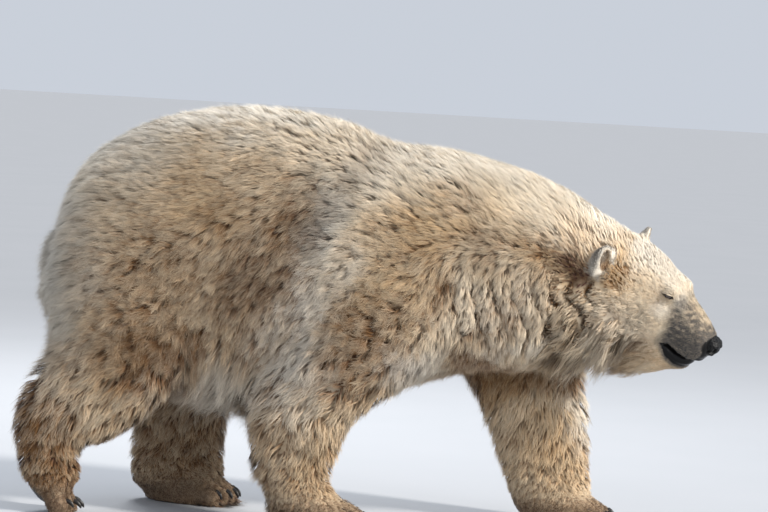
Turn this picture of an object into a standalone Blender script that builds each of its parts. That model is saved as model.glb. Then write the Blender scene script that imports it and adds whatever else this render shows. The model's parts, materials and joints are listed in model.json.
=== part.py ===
"""A polar bear caught in mid-stride, as a life-size museum model.

The bear walks towards +X with its right side at -Y. Every surface is the tip of the coat.
The body is modelled whole from lofted sections and rounded muscles, welded into one skin,
and then parted with thin cuts where a person would name its parts. Metres, +Z up, floor at Z = 0.
"""
import math

import bmesh
import bpy
from mathutils import Matrix, Vector

# ---- driving dimensions (metres, degrees) ---------------------------------------------------
GAP = 0.0006                 # clearance between neighbouring pieces
WELD_VOXEL = 0.012           # grain of the welded skin
COARSE_TRIANGLES = 1500      # triangles of the whole skin where it is broad
FINE_TRIANGLES = 3900        # and of the skin that the head and paws are cut from
RING_SIDES = 28              # points around one section
SPAN_STEPS = 5               # sections between two stations
SQUARENESS = 0.92            # 1 is an ellipse, less is fuller at the corners

HEAD_CENTRE = Vector((0.667, -0.050, 0.791))   # on the crown, between the ears
HEAD_YAW, HEAD_PITCH, HEAD_ROLL = -20.0, 37.0, 12.0
EAR_SPREAD = 0.146           # from the middle of the crown to each ear
EAR_HEIGHT, EAR_WIDTH, EAR_DEPTH = 0.094, 0.066, 0.038
EYE_RADIUS, EYE_SHOWING = 0.0115, 0.0035       # the ball, and how far it stands out of the coat
EYE_FORWARD, EYE_UP = 0.184, 0.034
NOSE_TIP = 0.376             # from the crown to the tip of the nose

FORE_PAW_LENGTH, FORE_PAW_WIDTH = 0.256, 0.200
HIND_PAW_LENGTH, HIND_PAW_WIDTH = 0.310, 0.180
PAW_HEIGHT = 0.095
TOES = 5
TOE_LENGTH, TOE_WIDTH, TOE_HEIGHT = 0.078, 0.048, 0.070
CLAW_LENGTH, CLAW_RADIUS, CLAW_CURL = 0.042, 0.0075, 40.0
CLAW_STEPS, CLAW_SIDES = 3, 5
CLAW_DROOP, LIFTED_CLAW_DROOP = 8.0, -14.0   # how steeply a claw starts down from its toe
MOUTH_OPENING = 7.0          # degrees between the lips
MOUTH_HALF_WIDTH = 0.1       # of the cut between the lips, wider than the jaw
MOUTH_LENGTH = 0.2           # of that cut, past the tip of the jaw
SLIT_DEPTH = 0.030           # of the opening between the lips
SOCKET_MARGIN = 0.045        # how far a limb's cut stands outside the limb in the trunk
SOCKET_CROWN = 0.080         # height of the rounded top of that cut above the joint
SOCKET_OUT, SOCKET_HALF = 0.275, 0.195   # middle and half width of that cut, from the midline
SOCKET_TIP = 0.060           # half size of the first section of that cut
SOCKET_STATIONS = 6          # sections of the limb that the cut follows
LEG_REACH = (0.300, 0.180, 1.000)   # half length, half width and depth of the cut below a joint
CALM_STEPS = 14              # smoothing of the welded skin

CREAM = (0.78, 0.68, 0.50, 1.0)
BLACK_LEATHER = (0.020, 0.018, 0.018, 1.0)
HORN = (0.035, 0.028, 0.024, 1.0)
EYE_BROWN = (0.030, 0.014, 0.008, 1.0)

# Sections along each part: x, y, z of the middle, then half width, half height up (or
# forward on a leg) and half height down (or backward on a leg).
TRUNK = [
    (-0.926, 0.000, 0.680, 0.085, 0.100, 0.120),
    (-0.895, 0.000, 0.682, 0.165, 0.180, 0.190),
    (-0.800, 0.000, 0.695, 0.248, 0.302, 0.270),
    (-0.635, 0.000, 0.720, 0.298, 0.384, 0.360),
    (-0.420, 0.000, 0.730, 0.320, 0.430, 0.408),
    (-0.200, 0.000, 0.720, 0.320, 0.422, 0.398),
    (0.000, 0.000, 0.705, 0.303, 0.380, 0.345),
    (0.180, 0.000, 0.720, 0.280, 0.355, 0.300),
    (0.360, 0.000, 0.725, 0.242, 0.303, 0.280),
    (0.500, -0.018, 0.710, 0.198, 0.254, 0.248),
    (0.610, -0.045, 0.690, 0.158, 0.206, 0.215),
    (0.700, -0.070, 0.665, 0.130, 0.160, 0.160),
]
FORE_RIGHT = [
    (0.130, -0.150, 0.800, 0.100, 0.150, 0.170),
    (0.080, -0.184, 0.660, 0.118, 0.175, 0.200),
    (-0.020, -0.208, 0.530, 0.122, 0.170, 0.200),
    (-0.130, -0.214, 0.420, 0.115, 0.150, 0.185),
    (-0.192, -0.212, 0.320, 0.105, 0.142, 0.165),
    (-0.212, -0.208, 0.220, 0.092, 0.125, 0.140),
    (-0.208, -0.204, 0.130, 0.083, 0.097, 0.096),
    (-0.182, -0.200, 0.060, 0.084, 0.100, 0.087),
]
FORE_LEFT = [
    (0.230, 0.150, 0.800, 0.100, 0.150, 0.170),
    (0.320, 0.184, 0.660, 0.118, 0.180, 0.200),
    (0.388, 0.208, 0.530, 0.120, 0.190, 0.185),
    (0.428, 0.212, 0.430, 0.114, 0.182, 0.172),
    (0.458, 0.208, 0.330, 0.104, 0.168, 0.150),
    (0.486, 0.202, 0.220, 0.092, 0.150, 0.136),
    (0.508, 0.197, 0.120, 0.085, 0.135, 0.120),
    (0.540, 0.192, 0.055, 0.086, 0.118, 0.112),
]
HIND_RIGHT = [
    (-0.660, -0.120, 0.840, 0.110, 0.180, 0.190),
    (-0.680, -0.160, 0.710, 0.140, 0.225, 0.240),
    (-0.685, -0.180, 0.560, 0.142, 0.220, 0.252),
    (-0.722, -0.190, 0.430, 0.122, 0.188, 0.232),
    (-0.803, -0.194, 0.338, 0.102, 0.165, 0.168),
    (-0.882, -0.193, 0.262, 0.088, 0.135, 0.126),
    (-0.902, -0.190, 0.185, 0.082, 0.105, 0.090),
    (-0.880, -0.186, 0.105, 0.078, 0.086, 0.082),
    (-0.850, -0.184, 0.055, 0.072, 0.062, 0.060),
]
HIND_LEFT = [
    (-0.620, 0.120, 0.840, 0.110, 0.180, 0.190),
    (-0.600, 0.160, 0.710, 0.140, 0.220, 0.235),
    (-0.560, 0.182, 0.570, 0.142, 0.215, 0.240),
    (-0.540, 0.194, 0.440, 0.122, 0.178, 0.200),
    (-0.550, 0.200, 0.320, 0.104, 0.148, 0.155),
    (-0.560, 0.200, 0.200, 0.092, 0.142, 0.140),
    (-0.562, 0.200, 0.110, 0.088, 0.138, 0.138),
    (-0.556, 0.198, 0.055, 0.086, 0.132, 0.136),
]
# Sections of the head in its own frame: forward, left and up from the crown.
SKULL = [
    (-0.190, 0.000, -0.120, 0.080, 0.080, 0.080),
    (-0.120, 0.000, -0.100, 0.122, 0.138, 0.140),
    (-0.030, 0.000, -0.085, 0.138, 0.155, 0.165),
    (0.060, 0.000, -0.075, 0.140, 0.160, 0.165),
    (0.130, 0.000, -0.065, 0.126, 0.150, 0.150),
    (0.185, 0.000, -0.050, 0.102, 0.126, 0.110),
    (0.225, 0.000, -0.035, 0.078, 0.092, 0.078),
    (0.270, 0.000, -0.028, 0.063, 0.066, 0.064),
    (0.320, 0.000, -0.034, 0.054, 0.052, 0.056),
    (0.350, 0.000, -0.040, 0.045, 0.044, 0.048),
    (0.366, 0.000, -0.042, 0.028, 0.028, 0.030),
]
JAW = [
    (0.040, 0.000, -0.190, 0.095, 0.060, 0.090),
    (0.120, 0.000, -0.180, 0.090, 0.070, 0.086),
    (0.200, 0.000, -0.150, 0.074, 0.070, 0.090),
    (0.265, 0.000, -0.120, 0.052, 0.048, 0.066),
    (0.315, 0.000, -0.110, 0.040, 0.034, 0.034),
    (0.338, 0.000, -0.108, 0.026, 0.022, 0.024),
]
TAIL = [
    (-0.884, 0.000, 0.745, 0.022, 0.022, 0.020),
    (-0.906, 0.000, 0.710, 0.042, 0.034, 0.029),
    (-0.920, 0.000, 0.660, 0.049, 0.036, 0.032),
    (-0.926, 0.000, 0.605, 0.042, 0.032, 0.027),
    (-0.924, 0.000, 0.568, 0.018, 0.014, 0.012),
]


# ---- frames -----------------------------------------------------------------------------------
def turned(yaw=0.0, pitch=0.0, roll=0.0):
    """Rotation that rolls about X, then pitches the nose down, then yaws about Z."""
    return (
        Matrix.Rotation(math.radians(yaw), 4, "Z")
        @ Matrix.Rotation(math.radians(pitch), 4, "Y")
        @ Matrix.Rotation(math.radians(roll), 4, "X")
    )


def frame_at(place, yaw=0.0, pitch=0.0, roll=0.0):
    return Matrix.Translation(Vector(place)) @ turned(yaw, pitch, roll)


HEAD = frame_at(HEAD_CENTRE, HEAD_YAW, HEAD_PITCH, HEAD_ROLL)
WORLD = Matrix.Identity(4)
FORE_RIGHT_FOOT = frame_at((-0.130, -0.198, 0.0), yaw=11.0)
FORE_LEFT_FOOT = frame_at((0.575, 0.190, 0.0), yaw=-10.0)
HIND_LEFT_FOOT = frame_at((-0.522, 0.195, 0.0), yaw=-17.0)
HIND_RIGHT_FOOT = frame_at((-0.936, -0.186, 0.150), yaw=3.0, pitch=64.0)
HIND_RIGHT_TOES = frame_at((-0.950, -0.186, 0.024), yaw=3.0, pitch=14.0)

# Where the pieces are parted: the elbow or knee, the wrist or ankle, the head and the neck.
ELBOW_RIGHT = frame_at((-0.190, -0.200, 0.318))
WRIST_RIGHT = frame_at((-0.205, -0.205, 0.112), pitch=-6.0)
ELBOW_LEFT = frame_at((0.452, 0.200, 0.385))
WRIST_LEFT = frame_at((0.510, 0.195, 0.112), pitch=-6.0)
KNEE_RIGHT = frame_at((-0.790, -0.200, 0.360), pitch=24.0)
ANKLE_RIGHT = frame_at((-0.905, -0.190, 0.205), pitch=-4.0)
KNEE_LEFT = frame_at((-0.550, 0.200, 0.318))
ANKLE_LEFT = frame_at((-0.560, 0.200, 0.108))
HEAD_CUT = frame_at((0.598, -0.050, 0.700), yaw=-18.0, pitch=4.0)
NECK_CUT = frame_at((0.335, 0.000, 0.750), pitch=-14.0)
MOUTH_CORNER = (0.236, 0.000, -0.093)

LIMBS = {
    "fore_right": (FORE_RIGHT, -1, ELBOW_RIGHT, WRIST_RIGHT),
    "fore_left": (FORE_LEFT, 1, ELBOW_LEFT, WRIST_LEFT),
    "hind_right": (HIND_RIGHT, -1, KNEE_RIGHT, ANKLE_RIGHT),
    "hind_left": (HIND_LEFT, 1, KNEE_LEFT, ANKLE_LEFT),
}
FEET = {
    "fore_right": (FORE_RIGHT_FOOT, FORE_RIGHT_FOOT, FORE_PAW_LENGTH, FORE_PAW_WIDTH),
    "fore_left": (FORE_LEFT_FOOT, FORE_LEFT_FOOT, FORE_PAW_LENGTH, FORE_PAW_WIDTH),
    "hind_right": (HIND_RIGHT_FOOT, HIND_RIGHT_TOES, HIND_PAW_LENGTH, HIND_PAW_WIDTH),
    "hind_left": (HIND_LEFT_FOOT, HIND_LEFT_FOOT, HIND_PAW_LENGTH, HIND_PAW_WIDTH),
}


# ---- building blocks --------------------------------------------------------------------------
def smooth_stations(stations, steps):
    """Catmull-Rom sections between the given ones."""
    ends = [stations[0]] + list(stations) + [stations[-1]]
    rows = []
    for index in range(1, len(ends) - 2):
        before, start, stop, after = ends[index - 1:index + 3]
        for step in range(steps):
            t = step / steps
            row = []
            for a, b, c, d in zip(before, start, stop, after):
                slope = (c - a) * t
                bend = (2 * a - 5 * b + 4 * c - d) * t * t
                twist = (3 * b - a - 3 * c + d) * t ** 3
                row.append(b + 0.5 * (slope + bend + twist))
            rows.append(row)
    rows.append(list(stations[-1]))
    return rows


def link(name, mesh):
    thing = bpy.data.objects.new(name, mesh)
    bpy.context.scene.collection.objects.link(thing)
    return thing


def signed_power(value, power):
    return math.copysign(abs(value) ** power, value)


def section_ring(middle, side, up, row, sides):
    half_side, half_up, half_down = row[3:6]
    ring = []
    for index in range(sides):
        angle = 2 * math.pi * index / sides
        across = signed_power(math.cos(angle), SQUARENESS) * half_side
        height = signed_power(math.sin(angle), SQUARENESS)
        height *= half_up if height > 0 else half_down
        ring.append(middle + side * across + up * height)
    return ring


def loft(name, stations, frame=WORLD, sides=RING_SIDES, steps=SPAN_STEPS, level=False):
    """A closed body through egg-shaped sections, square to the path or, if asked, all level."""
    rows = smooth_stations(stations, steps)
    path = [Vector(row[:3]) for row in rows]
    mesh = bmesh.new()
    rings = []
    for index, row in enumerate(rows):
        ahead = path[min(index + 1, len(path) - 1)] - path[max(index - 1, 0)]
        side = Vector((0.0, 1.0, 0.0))
        up = ahead.cross(side).normalized()
        side = up.cross(ahead).normalized()
        if level:
            up, side = Vector((1.0, 0.0, 0.0)), Vector((0.0, 1.0, 0.0))
        ring = section_ring(path[index], side, up, row, sides)
        rings.append([mesh.verts.new(frame @ point) for point in ring])
    for lower, upper in zip(rings, rings[1:]):
        for index in range(sides):
            after = (index + 1) % sides
            mesh.faces.new((lower[index], lower[after], upper[after], upper[index]))
    mesh.faces.new(rings[0])
    mesh.faces.new(rings[-1])
    bmesh.ops.triangulate(mesh, faces=mesh.faces, quad_method="FIXED")
    return finish_mesh(name, mesh)


def finish_mesh(name, mesh):
    bmesh.ops.recalc_face_normals(mesh, faces=mesh.faces)
    data = bpy.data.meshes.new(name)
    mesh.to_mesh(data)
    mesh.free()
    return link(name, data)


def ellipsoid(name, frame, place, radii, segments=20, turn=None):
    """A stretched sphere; place and radii are in the given frame."""
    mesh = bmesh.new()
    bmesh.ops.create_uvsphere(mesh, u_segments=segments, v_segments=segments // 2, radius=1.0)
    stretch = Matrix.Diagonal((*radii, 1.0))
    local = Matrix.Translation(Vector(place)) @ (turn or WORLD) @ stretch
    bmesh.ops.transform(mesh, matrix=frame @ local, verts=mesh.verts)
    return finish_mesh(name, mesh)


def block(name, frame, low, high):
    """A box between two corners given in the frame."""
    mesh = bmesh.new()
    bmesh.ops.create_cube(mesh, size=1.0)
    low, high = Vector(low), Vector(high)
    shape = Matrix.Translation((low + high) / 2) @ Matrix.Diagonal((*(high - low), 1.0))
    bmesh.ops.transform(mesh, matrix=frame @ shape, verts=mesh.verts)
    return finish_mesh(name, mesh)


def bake_modifiers(thing):
    """Replace an object's mesh by the one its modifiers give."""
    graph = bpy.context.evaluated_depsgraph_get()
    shaped = bpy.data.meshes.new_from_object(thing.evaluated_get(graph))
    thing.modifiers.clear()
    thing.data = shaped
    return thing


def combine(thing, cutter, operation):
    """Cut, join or keep the common part of a solid and a cutter; the cutter is used up."""
    step = thing.modifiers.new(operation.title(), "BOOLEAN")
    step.operation = operation
    step.solver = "EXACT"
    step.object = cutter
    bake_modifiers(thing)
    bpy.data.objects.remove(cutter)
    return thing


def copy_of(thing, name):
    return link(name, thing.data.copy())


def join_meshes(name, things):
    """One mesh that holds all the given closed shells."""
    whole = bmesh.new()
    for thing in things:
        whole.from_mesh(thing.data)
        bpy.data.objects.remove(thing)
    return finish_mesh(name, whole)


def weld(thing, voxel):
    step = thing.modifiers.new("Weld", "REMESH")
    step.mode = "VOXEL"
    step.voxel_size = voxel
    return bake_modifiers(thing)


# ---- masses of the body -----------------------------------------------------------------------
def muscles():
    """Rounded masses that stand out under the coat."""
    lean = turned(pitch=18.0)
    shapes = [
        ("withers", (0.130, 0.0, 0.890), (0.200, 0.150, 0.165), None),
        ("shoulder_right", (0.115, -0.165, 0.760), (0.185, 0.130, 0.260), lean),
        ("shoulder_left", (0.245, 0.165, 0.740), (0.185, 0.130, 0.260), lean),
        ("haunch_right", (-0.700, -0.155, 0.660), (0.232, 0.150, 0.290), None),
        ("haunch_left", (-0.640, 0.155, 0.660), (0.232, 0.150, 0.290), None),
        ("brisket", (0.380, 0.0, 0.560), (0.180, 0.190, 0.120), None),
        ("belly", (-0.330, 0.0, 0.470), (0.330, 0.250, 0.145), None),
    ]
    return [ellipsoid(name, WORLD, place, radii, turn=turn) for name, place, radii, turn in shapes]


def face_masses():
    """Cheeks, brows and the pads of the upper lip, in the frame of the head."""
    masses = []
    for side in (-1, 1):
        masses.append(ellipsoid("cheek", HEAD, (0.105, side * 0.080, -0.110), (0.085, 0.068, 0.085)))
        masses.append(ellipsoid("brow", HEAD, (0.172, side * 0.048, 0.036), (0.044, 0.036, 0.030)))
        masses.append(ellipsoid("lip_pad", HEAD, (0.318, side * 0.024, -0.062), (0.036, 0.028, 0.026)))
        masses.append(ellipsoid("jowl", HEAD, (0.030, side * 0.085, -0.190), (0.100, 0.065, 0.080)))
        masses.append(ellipsoid("ear_root", HEAD, (-0.010, side * 0.112, -0.004), (0.046, 0.044, 0.048)))
    return masses


def toe_places(paw_length, paw_width):
    """Middle and outward turn of each toe, from the outer to the inner side of the paw."""
    places = []
    for index in range(TOES):
        across = (index - (TOES - 1) / 2) / ((TOES - 1) / 2)
        forward = paw_length * (0.36 - 0.085 * across * across)
        places.append((forward, across * (paw_width - TOE_WIDTH) / 2, across * 9.0))
    return places


def foot_masses(frame, toe_frame, length, width):
    palm = (length * 0.47, width * 0.47, PAW_HEIGHT * 0.70)
    masses = [ellipsoid("palm", frame, (0.0, 0.0, PAW_HEIGHT * 0.30), palm)]
    for forward, across, splay in toe_places(length, width):
        half = (TOE_LENGTH / 2, TOE_WIDTH / 2, TOE_HEIGHT / 2)
        place = (forward, across, TOE_HEIGHT * 0.38)
        masses.append(ellipsoid("toe", toe_frame, place, half, turn=turned(yaw=splay)))
    return masses


def closeness(point, middle, inner, outer):
    """1 within the inner radius, 0 beyond the outer one."""
    reach = (point - middle).length
    return max(0.0, min(1.0, (outer - reach) / (outer - inner)))


def fineness(point):
    """1 on the face and the toes, 0 on the trunk."""
    spots = [(HEAD @ Vector((0.270, 0.0, -0.060)), 0.150, 0.330)]
    for _frame, toe_frame, length, _width in FEET.values():
        spots.append((toe_frame @ Vector((length * 0.3, 0.0, 0.030)), 0.110, 0.230))
    return max(closeness(point, *spot) for spot in spots)


def whole_body():
    """All flesh welded into one skin, calmed where it is broad, fine on the face and toes."""
    masses = [loft("trunk", TRUNK), loft("skull", SKULL, HEAD), loft("jaw", JAW, HEAD)]
    masses += [loft("limb", row) for row in (FORE_RIGHT, FORE_LEFT, HIND_RIGHT, HIND_LEFT)]
    masses += muscles()
    masses += face_masses()
    for foot in FEET.values():
        masses += foot_masses(*foot)
    body = weld(join_meshes("body", masses), WELD_VOXEL)
    broad = body.vertex_groups.new(name="broad")
    for vertex in body.data.vertices:
        broad.add([vertex.index], 1.0 - 0.85 * fineness(vertex.co), "REPLACE")
    calm = body.modifiers.new("Calm", "SMOOTH")
    calm.factor = 0.5
    calm.iterations = CALM_STEPS
    calm.vertex_group = "broad"
    return bake_modifiers(body)


def thinned(body, name, triangles):
    """A copy of the skin with about the given number of triangles, its soles cut flat on the floor."""
    copy = copy_of(body, name)
    corners = sum(len(face.vertices) - 2 for face in copy.data.polygons)
    thin = copy.modifiers.new("Thin", "DECIMATE")
    thin.ratio = triangles / corners
    bake_modifiers(copy)
    floor = block("floor", WORLD, (-2.0, -1.0, -1.0), (2.0, 1.0, 0.0))
    return combine(copy, floor, "DIFFERENCE")


# ---- parting ------------------------------------------------------------------------------------
def carve(body, name, region):
    """Cut a named piece out of the body; region(grow) makes the cutter."""
    piece = combine(copy_of(body, name), region(0.0), "INTERSECT")
    combine(body, region(GAP), "DIFFERENCE")
    return piece


def seat(host, shape):
    """Make a separate piece and cut its seat in the host; shape(grow) makes the solid."""
    combine(host, shape(GAP), "DIFFERENCE")
    return shape(0.0)


def box_region(frame, low, high):
    def region(grow):
        edge = Vector((grow, grow, grow))
        return block("cut", frame, Vector(low) - edge, Vector(high) + edge)
    return region


def limb_socket(stations, side):
    """Region of an upper limb: its loft widened, from the shoulder or hip past the knee."""
    def region(grow):
        first = stations[0]
        top = first[2] + SOCKET_CROWN + grow
        rows = [(first[0], side * SOCKET_OUT, top, SOCKET_TIP, SOCKET_TIP, SOCKET_TIP)]
        for x, _y, z, _half, front, back in stations[:SOCKET_STATIONS]:
            margin = SOCKET_MARGIN + grow
            rows.append((x, side * SOCKET_OUT, z, SOCKET_HALF + grow, front + margin, back + margin))
        return loft("socket", rows, sides=12, steps=2, level=True)
    return region


def part_limb(body, fine, name, stations, side, knee, ankle):
    """Upper limb, lower limb and paw of one leg; returns the paw, cut from the fine skin."""
    along, across, down = LEG_REACH
    low = Vector((-along, -across, -down))
    high = Vector((along, across, 0.0))
    lower = carve(body, "lower_" + name, box_region(knee, low, high))
    combine(lower, box_region(ankle, low, high)(GAP), "DIFFERENCE")
    paw = combine(copy_of(fine, "paw_" + name), box_region(ankle, low, high)(0.0), "INTERSECT")
    carve(body, "upper_" + name, limb_socket(stations, side))
    return paw


def ear(name, side):
    """A thick rounded ear with a shallow cup that opens forward and outward; its seat has no cup."""
    place = frame_at((-0.008, side * EAR_SPREAD, 0.015), side * 16.0, -16.0, side * -14.0)
    stand = HEAD @ place

    def shape(grow):
        half = (EAR_DEPTH / 2 + grow, EAR_WIDTH / 2 + grow, EAR_HEIGHT / 2 + grow)
        shell = ellipsoid(name, stand, (0.0, 0.0, 0.0), half, segments=14)
        if grow:
            return shell
        cup_half = (EAR_DEPTH * 0.42, EAR_WIDTH * 0.31, EAR_HEIGHT * 0.36)
        cup = ellipsoid("cup", stand, (EAR_DEPTH * 0.47, 0.0, EAR_HEIGHT * 0.05), cup_half, segments=10)
        return combine(shell, cup, "DIFFERENCE")
    return shape


def eye(body, name, side):
    """An eyeball sunk into the side of the head, with a small cap showing."""
    outside = HEAD @ Vector((EYE_FORWARD, side * 0.2, EYE_UP))
    inward = HEAD.to_3x3() @ Vector((0.0, -side, 0.0))
    _hit, spot, normal, _face = body.ray_cast(outside, inward)
    middle = spot - normal * (EYE_RADIUS - EYE_SHOWING)

    def shape(grow):
        radius = EYE_RADIUS + grow
        return ellipsoid(name, WORLD, middle, (radius, radius, radius), segments=10)
    return shape


def nose(grow):
    """The leather of the nose, wider above than below."""
    half = (0.026 + grow, 0.030 + grow, 0.029 + grow)
    return ellipsoid("nose", HEAD, (NOSE_TIP - 0.0265, 0.0, -0.022), half, segments=14)


def tail(grow):
    """A short tail that lies against the rump."""
    middle = sum(row[2] for row in TAIL) / len(TAIL)
    rows = []
    for x, y, z, half, front, back in TAIL:
        rows.append((x, y, z + math.copysign(grow, z - middle), half + grow, front + grow, back + grow))
    return loft("tail", rows, sides=12, steps=2)


def claw(name, frame, place, splay, droop):
    """A blunt curved claw that leaves the top of a toe and bends down."""
    stand = frame @ frame_at(place, yaw=splay)

    def shape(grow):
        rows = []
        x, z = -grow, 0.0
        for step in range(CLAW_STEPS + 1):
            part = step / CLAW_STEPS
            radius = CLAW_RADIUS * (1.0 - 0.85 * part ** 1.6) + grow
            rows.append((x, 0.0, z, radius * 0.8, radius, radius))
            angle = math.radians(droop + CLAW_CURL * part)
            x += math.cos(angle) * CLAW_LENGTH / CLAW_STEPS
            z -= math.sin(angle) * CLAW_LENGTH / CLAW_STEPS
        return loft(name, rows, stand, CLAW_SIDES, 1)
    return shape


def add_claws(paw, name, toe_frame, length, width, droop):
    for index, (forward, across, splay) in enumerate(toe_places(length, width)):
        place = (forward + TOE_LENGTH * 0.30, across, TOE_HEIGHT * 0.58)
        shape = claw(f"claw_{name}_{index + 1}", toe_frame, place, splay, droop)
        seat(paw, shape)


def part_jaw(head):
    """The lower jaw hangs from the corner of the mouth, with a slit left between the lips."""
    reach = Vector((MOUTH_LENGTH, MOUTH_HALF_WIDTH, 0.0))
    low = Vector((0.0, -MOUTH_HALF_WIDTH, -MOUTH_LENGTH))
    carve(head, "lower_jaw", box_region(HEAD @ frame_at(MOUTH_CORNER, pitch=MOUTH_OPENING), low, reach))
    low.z = -SLIT_DEPTH
    combine(head, block("mouth", HEAD @ frame_at(MOUTH_CORNER), low, reach), "DIFFERENCE")


def part_head(body, fine):
    """The head is cut from the fine skin; its ears, eyes, nose and jaw are then set in it."""
    region = box_region(HEAD_CUT, (0.0, -0.6, -0.3), (0.8, 0.6, 0.6))
    combine(body, region(GAP), "DIFFERENCE")
    head = combine(copy_of(fine, "head"), region(0.0), "INTERSECT")
    for name, (stations, side, _knee, _ankle) in LIMBS.items():
        combine(head, limb_socket(stations, side)(GAP), "DIFFERENCE")
    for word, side in (("right", -1), ("left", 1)):
        seat(head, ear("ear_" + word, side))
        seat(head, eye(head, "eye_" + word, side))
    seat(head, nose)
    part_jaw(head)
    carve(body, "neck", box_region(NECK_CUT, (0.0, -0.6, -0.8), (0.8, 0.6, 0.8)))


# ---- finish -------------------------------------------------------------------------------------
def material(name, color, roughness):
    finish = bpy.data.materials.new(name)
    finish.use_nodes = True
    shader = finish.node_tree.nodes["Principled BSDF"]
    shader.inputs["Base Color"].default_value = color
    shader.inputs["Roughness"].default_value = roughness
    finish.diffuse_color = color
    return finish


def finish_piece(thing):
    """Give each piece its own finish and the bare triangles that it is made of."""
    looks = {"claw": (HORN, 0.35), "eye": (EYE_BROWN, 0.08), "nose": (BLACK_LEATHER, 0.35)}
    color, roughness = looks.get(thing.name.split("_")[0], (CREAM, 0.85))
    thing.data.materials.clear()
    thing.data.materials.append(material(thing.name, color, roughness))
    thing.vertex_groups.clear()
    thing.data.name = thing.name
    thing.data.shade_smooth()


def centre_on_floor():
    """Move everything so that the origin is the middle of the bear's footprint box."""
    corners = [vertex.co for thing in bpy.data.objects for vertex in thing.data.vertices]
    low = [min(corner[axis] for corner in corners) for axis in range(3)]
    high = [max(corner[axis] for corner in corners) for axis in range(3)]
    shift = Vector((-(low[0] + high[0]) / 2, -(low[1] + high[1]) / 2, -low[2]))
    for thing in bpy.data.objects:
        thing.data.transform(Matrix.Translation(shift))


def build_bear():
    for thing in list(bpy.data.objects):
        bpy.data.objects.remove(thing)
    skin = whole_body()
    body = thinned(skin, "trunk", COARSE_TRIANGLES)
    fine = thinned(skin, "fine", FINE_TRIANGLES)
    bpy.data.objects.remove(skin)
    for name, (stations, side, knee, ankle) in LIMBS.items():
        paw = part_limb(body, fine, name, stations, side, knee, ankle)
        _frame, toe_frame, length, width = FEET[name]
        droop = LIFTED_CLAW_DROOP if name == "hind_right" else CLAW_DROOP
        add_claws(paw, name, toe_frame, length, width, droop)
    part_head(body, fine)
    bpy.data.objects.remove(fine)
    seat(body, tail)
    for thing in bpy.data.objects:
        finish_piece(thing)
    centre_on_floor()


build_bear()
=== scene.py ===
import json
import math

import bmesh
import bpy
import numpy as np
from mathutils import Matrix, Vector
from mathutils.bvhtree import BVHTree
from mathutils.kdtree import KDTree

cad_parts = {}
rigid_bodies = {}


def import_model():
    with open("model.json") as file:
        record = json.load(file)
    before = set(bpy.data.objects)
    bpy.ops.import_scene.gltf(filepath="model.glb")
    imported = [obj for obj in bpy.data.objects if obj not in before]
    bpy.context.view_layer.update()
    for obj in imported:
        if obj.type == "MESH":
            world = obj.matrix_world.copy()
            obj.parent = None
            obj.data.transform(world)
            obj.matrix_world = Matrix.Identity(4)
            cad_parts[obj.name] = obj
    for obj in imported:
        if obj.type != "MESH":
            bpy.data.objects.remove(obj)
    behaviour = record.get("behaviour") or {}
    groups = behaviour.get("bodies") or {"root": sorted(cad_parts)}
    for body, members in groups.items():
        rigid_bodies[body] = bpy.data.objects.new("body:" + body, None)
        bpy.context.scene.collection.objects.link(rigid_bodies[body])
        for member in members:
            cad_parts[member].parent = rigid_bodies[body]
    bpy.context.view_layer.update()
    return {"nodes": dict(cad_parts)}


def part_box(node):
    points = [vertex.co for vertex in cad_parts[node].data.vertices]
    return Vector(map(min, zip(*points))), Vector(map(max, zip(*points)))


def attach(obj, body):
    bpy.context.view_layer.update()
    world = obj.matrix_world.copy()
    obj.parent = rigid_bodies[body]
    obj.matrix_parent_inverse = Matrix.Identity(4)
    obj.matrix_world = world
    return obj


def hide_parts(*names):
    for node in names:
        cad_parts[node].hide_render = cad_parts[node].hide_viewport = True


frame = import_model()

# ---- The skin -----------------------------------------------------------------------------------
# The tanned hide of a polar bear, drawn without a seam over a carved body from nose to tail.
# It lies under the outline of the coat by the depth of the fur: a hand's breadth of it over the
# back and belly, almost none on the muzzle, the lids, the ears and the toes.
FLESH = [name for name in frame["nodes"] if not name.startswith("claw")]
SWELL = 0.0010               # closes the cuts between the carved pieces
SKIN_GRAIN = 0.0075          # mesh size of the skin over the body
ROUNDING = 26                # passes that take the facets off the body
HEAD_YAW, HEAD_PITCH, HEAD_ROLL = -20.0, 37.0, 12.0
NOSE_PLACE = Vector((0.3495, 0.000, -0.022))   # middle of the nose, forward, left and up of the crown


def centre_of(node):
    low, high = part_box(node)
    return (Vector(low) + Vector(high)) / 2


def turned(yaw=0.0, pitch=0.0, roll=0.0):
    return (
        Matrix.Rotation(math.radians(yaw), 3, "Z")
        @ Matrix.Rotation(math.radians(pitch), 3, "Y")
        @ Matrix.Rotation(math.radians(roll), 3, "X")
    )


HEAD_TURN = turned(HEAD_YAW, HEAD_PITCH, HEAD_ROLL)
CROWN = centre_of("nose") - HEAD_TURN @ NOSE_PLACE
HEAD_AXES = np.array(HEAD_TURN)


def in_head(points):
    """Places measured forward, left and up from the crown."""
    return (points - np.array(CROWN)) @ HEAD_AXES


def step(value, low, high):
    """0 below low, 1 above high, smooth in between; low may be the greater."""
    part = np.clip((value - low) / (high - low), 0.0, 1.0)
    return part * part * (3.0 - 2.0 * part)


def bump(value, middle, width):
    """A soft hill of height 1."""
    return np.exp(-((value - middle) / width) ** 2)


def unit(vectors):
    return vectors / np.maximum(np.linalg.norm(vectors, axis=-1, keepdims=True), 1e-9)


def new_piece(name, data):
    piece = bpy.data.objects.new(name, data)
    bpy.context.scene.collection.objects.link(piece)
    return piece


def rows_of(items, key, width, kind=np.float32):
    """One property of all the items of a mesh, as rows of so many numbers."""
    flat = np.empty(len(items) * width, dtype=kind)
    items.foreach_get(key, flat)
    return flat.reshape(-1, width)


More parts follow.
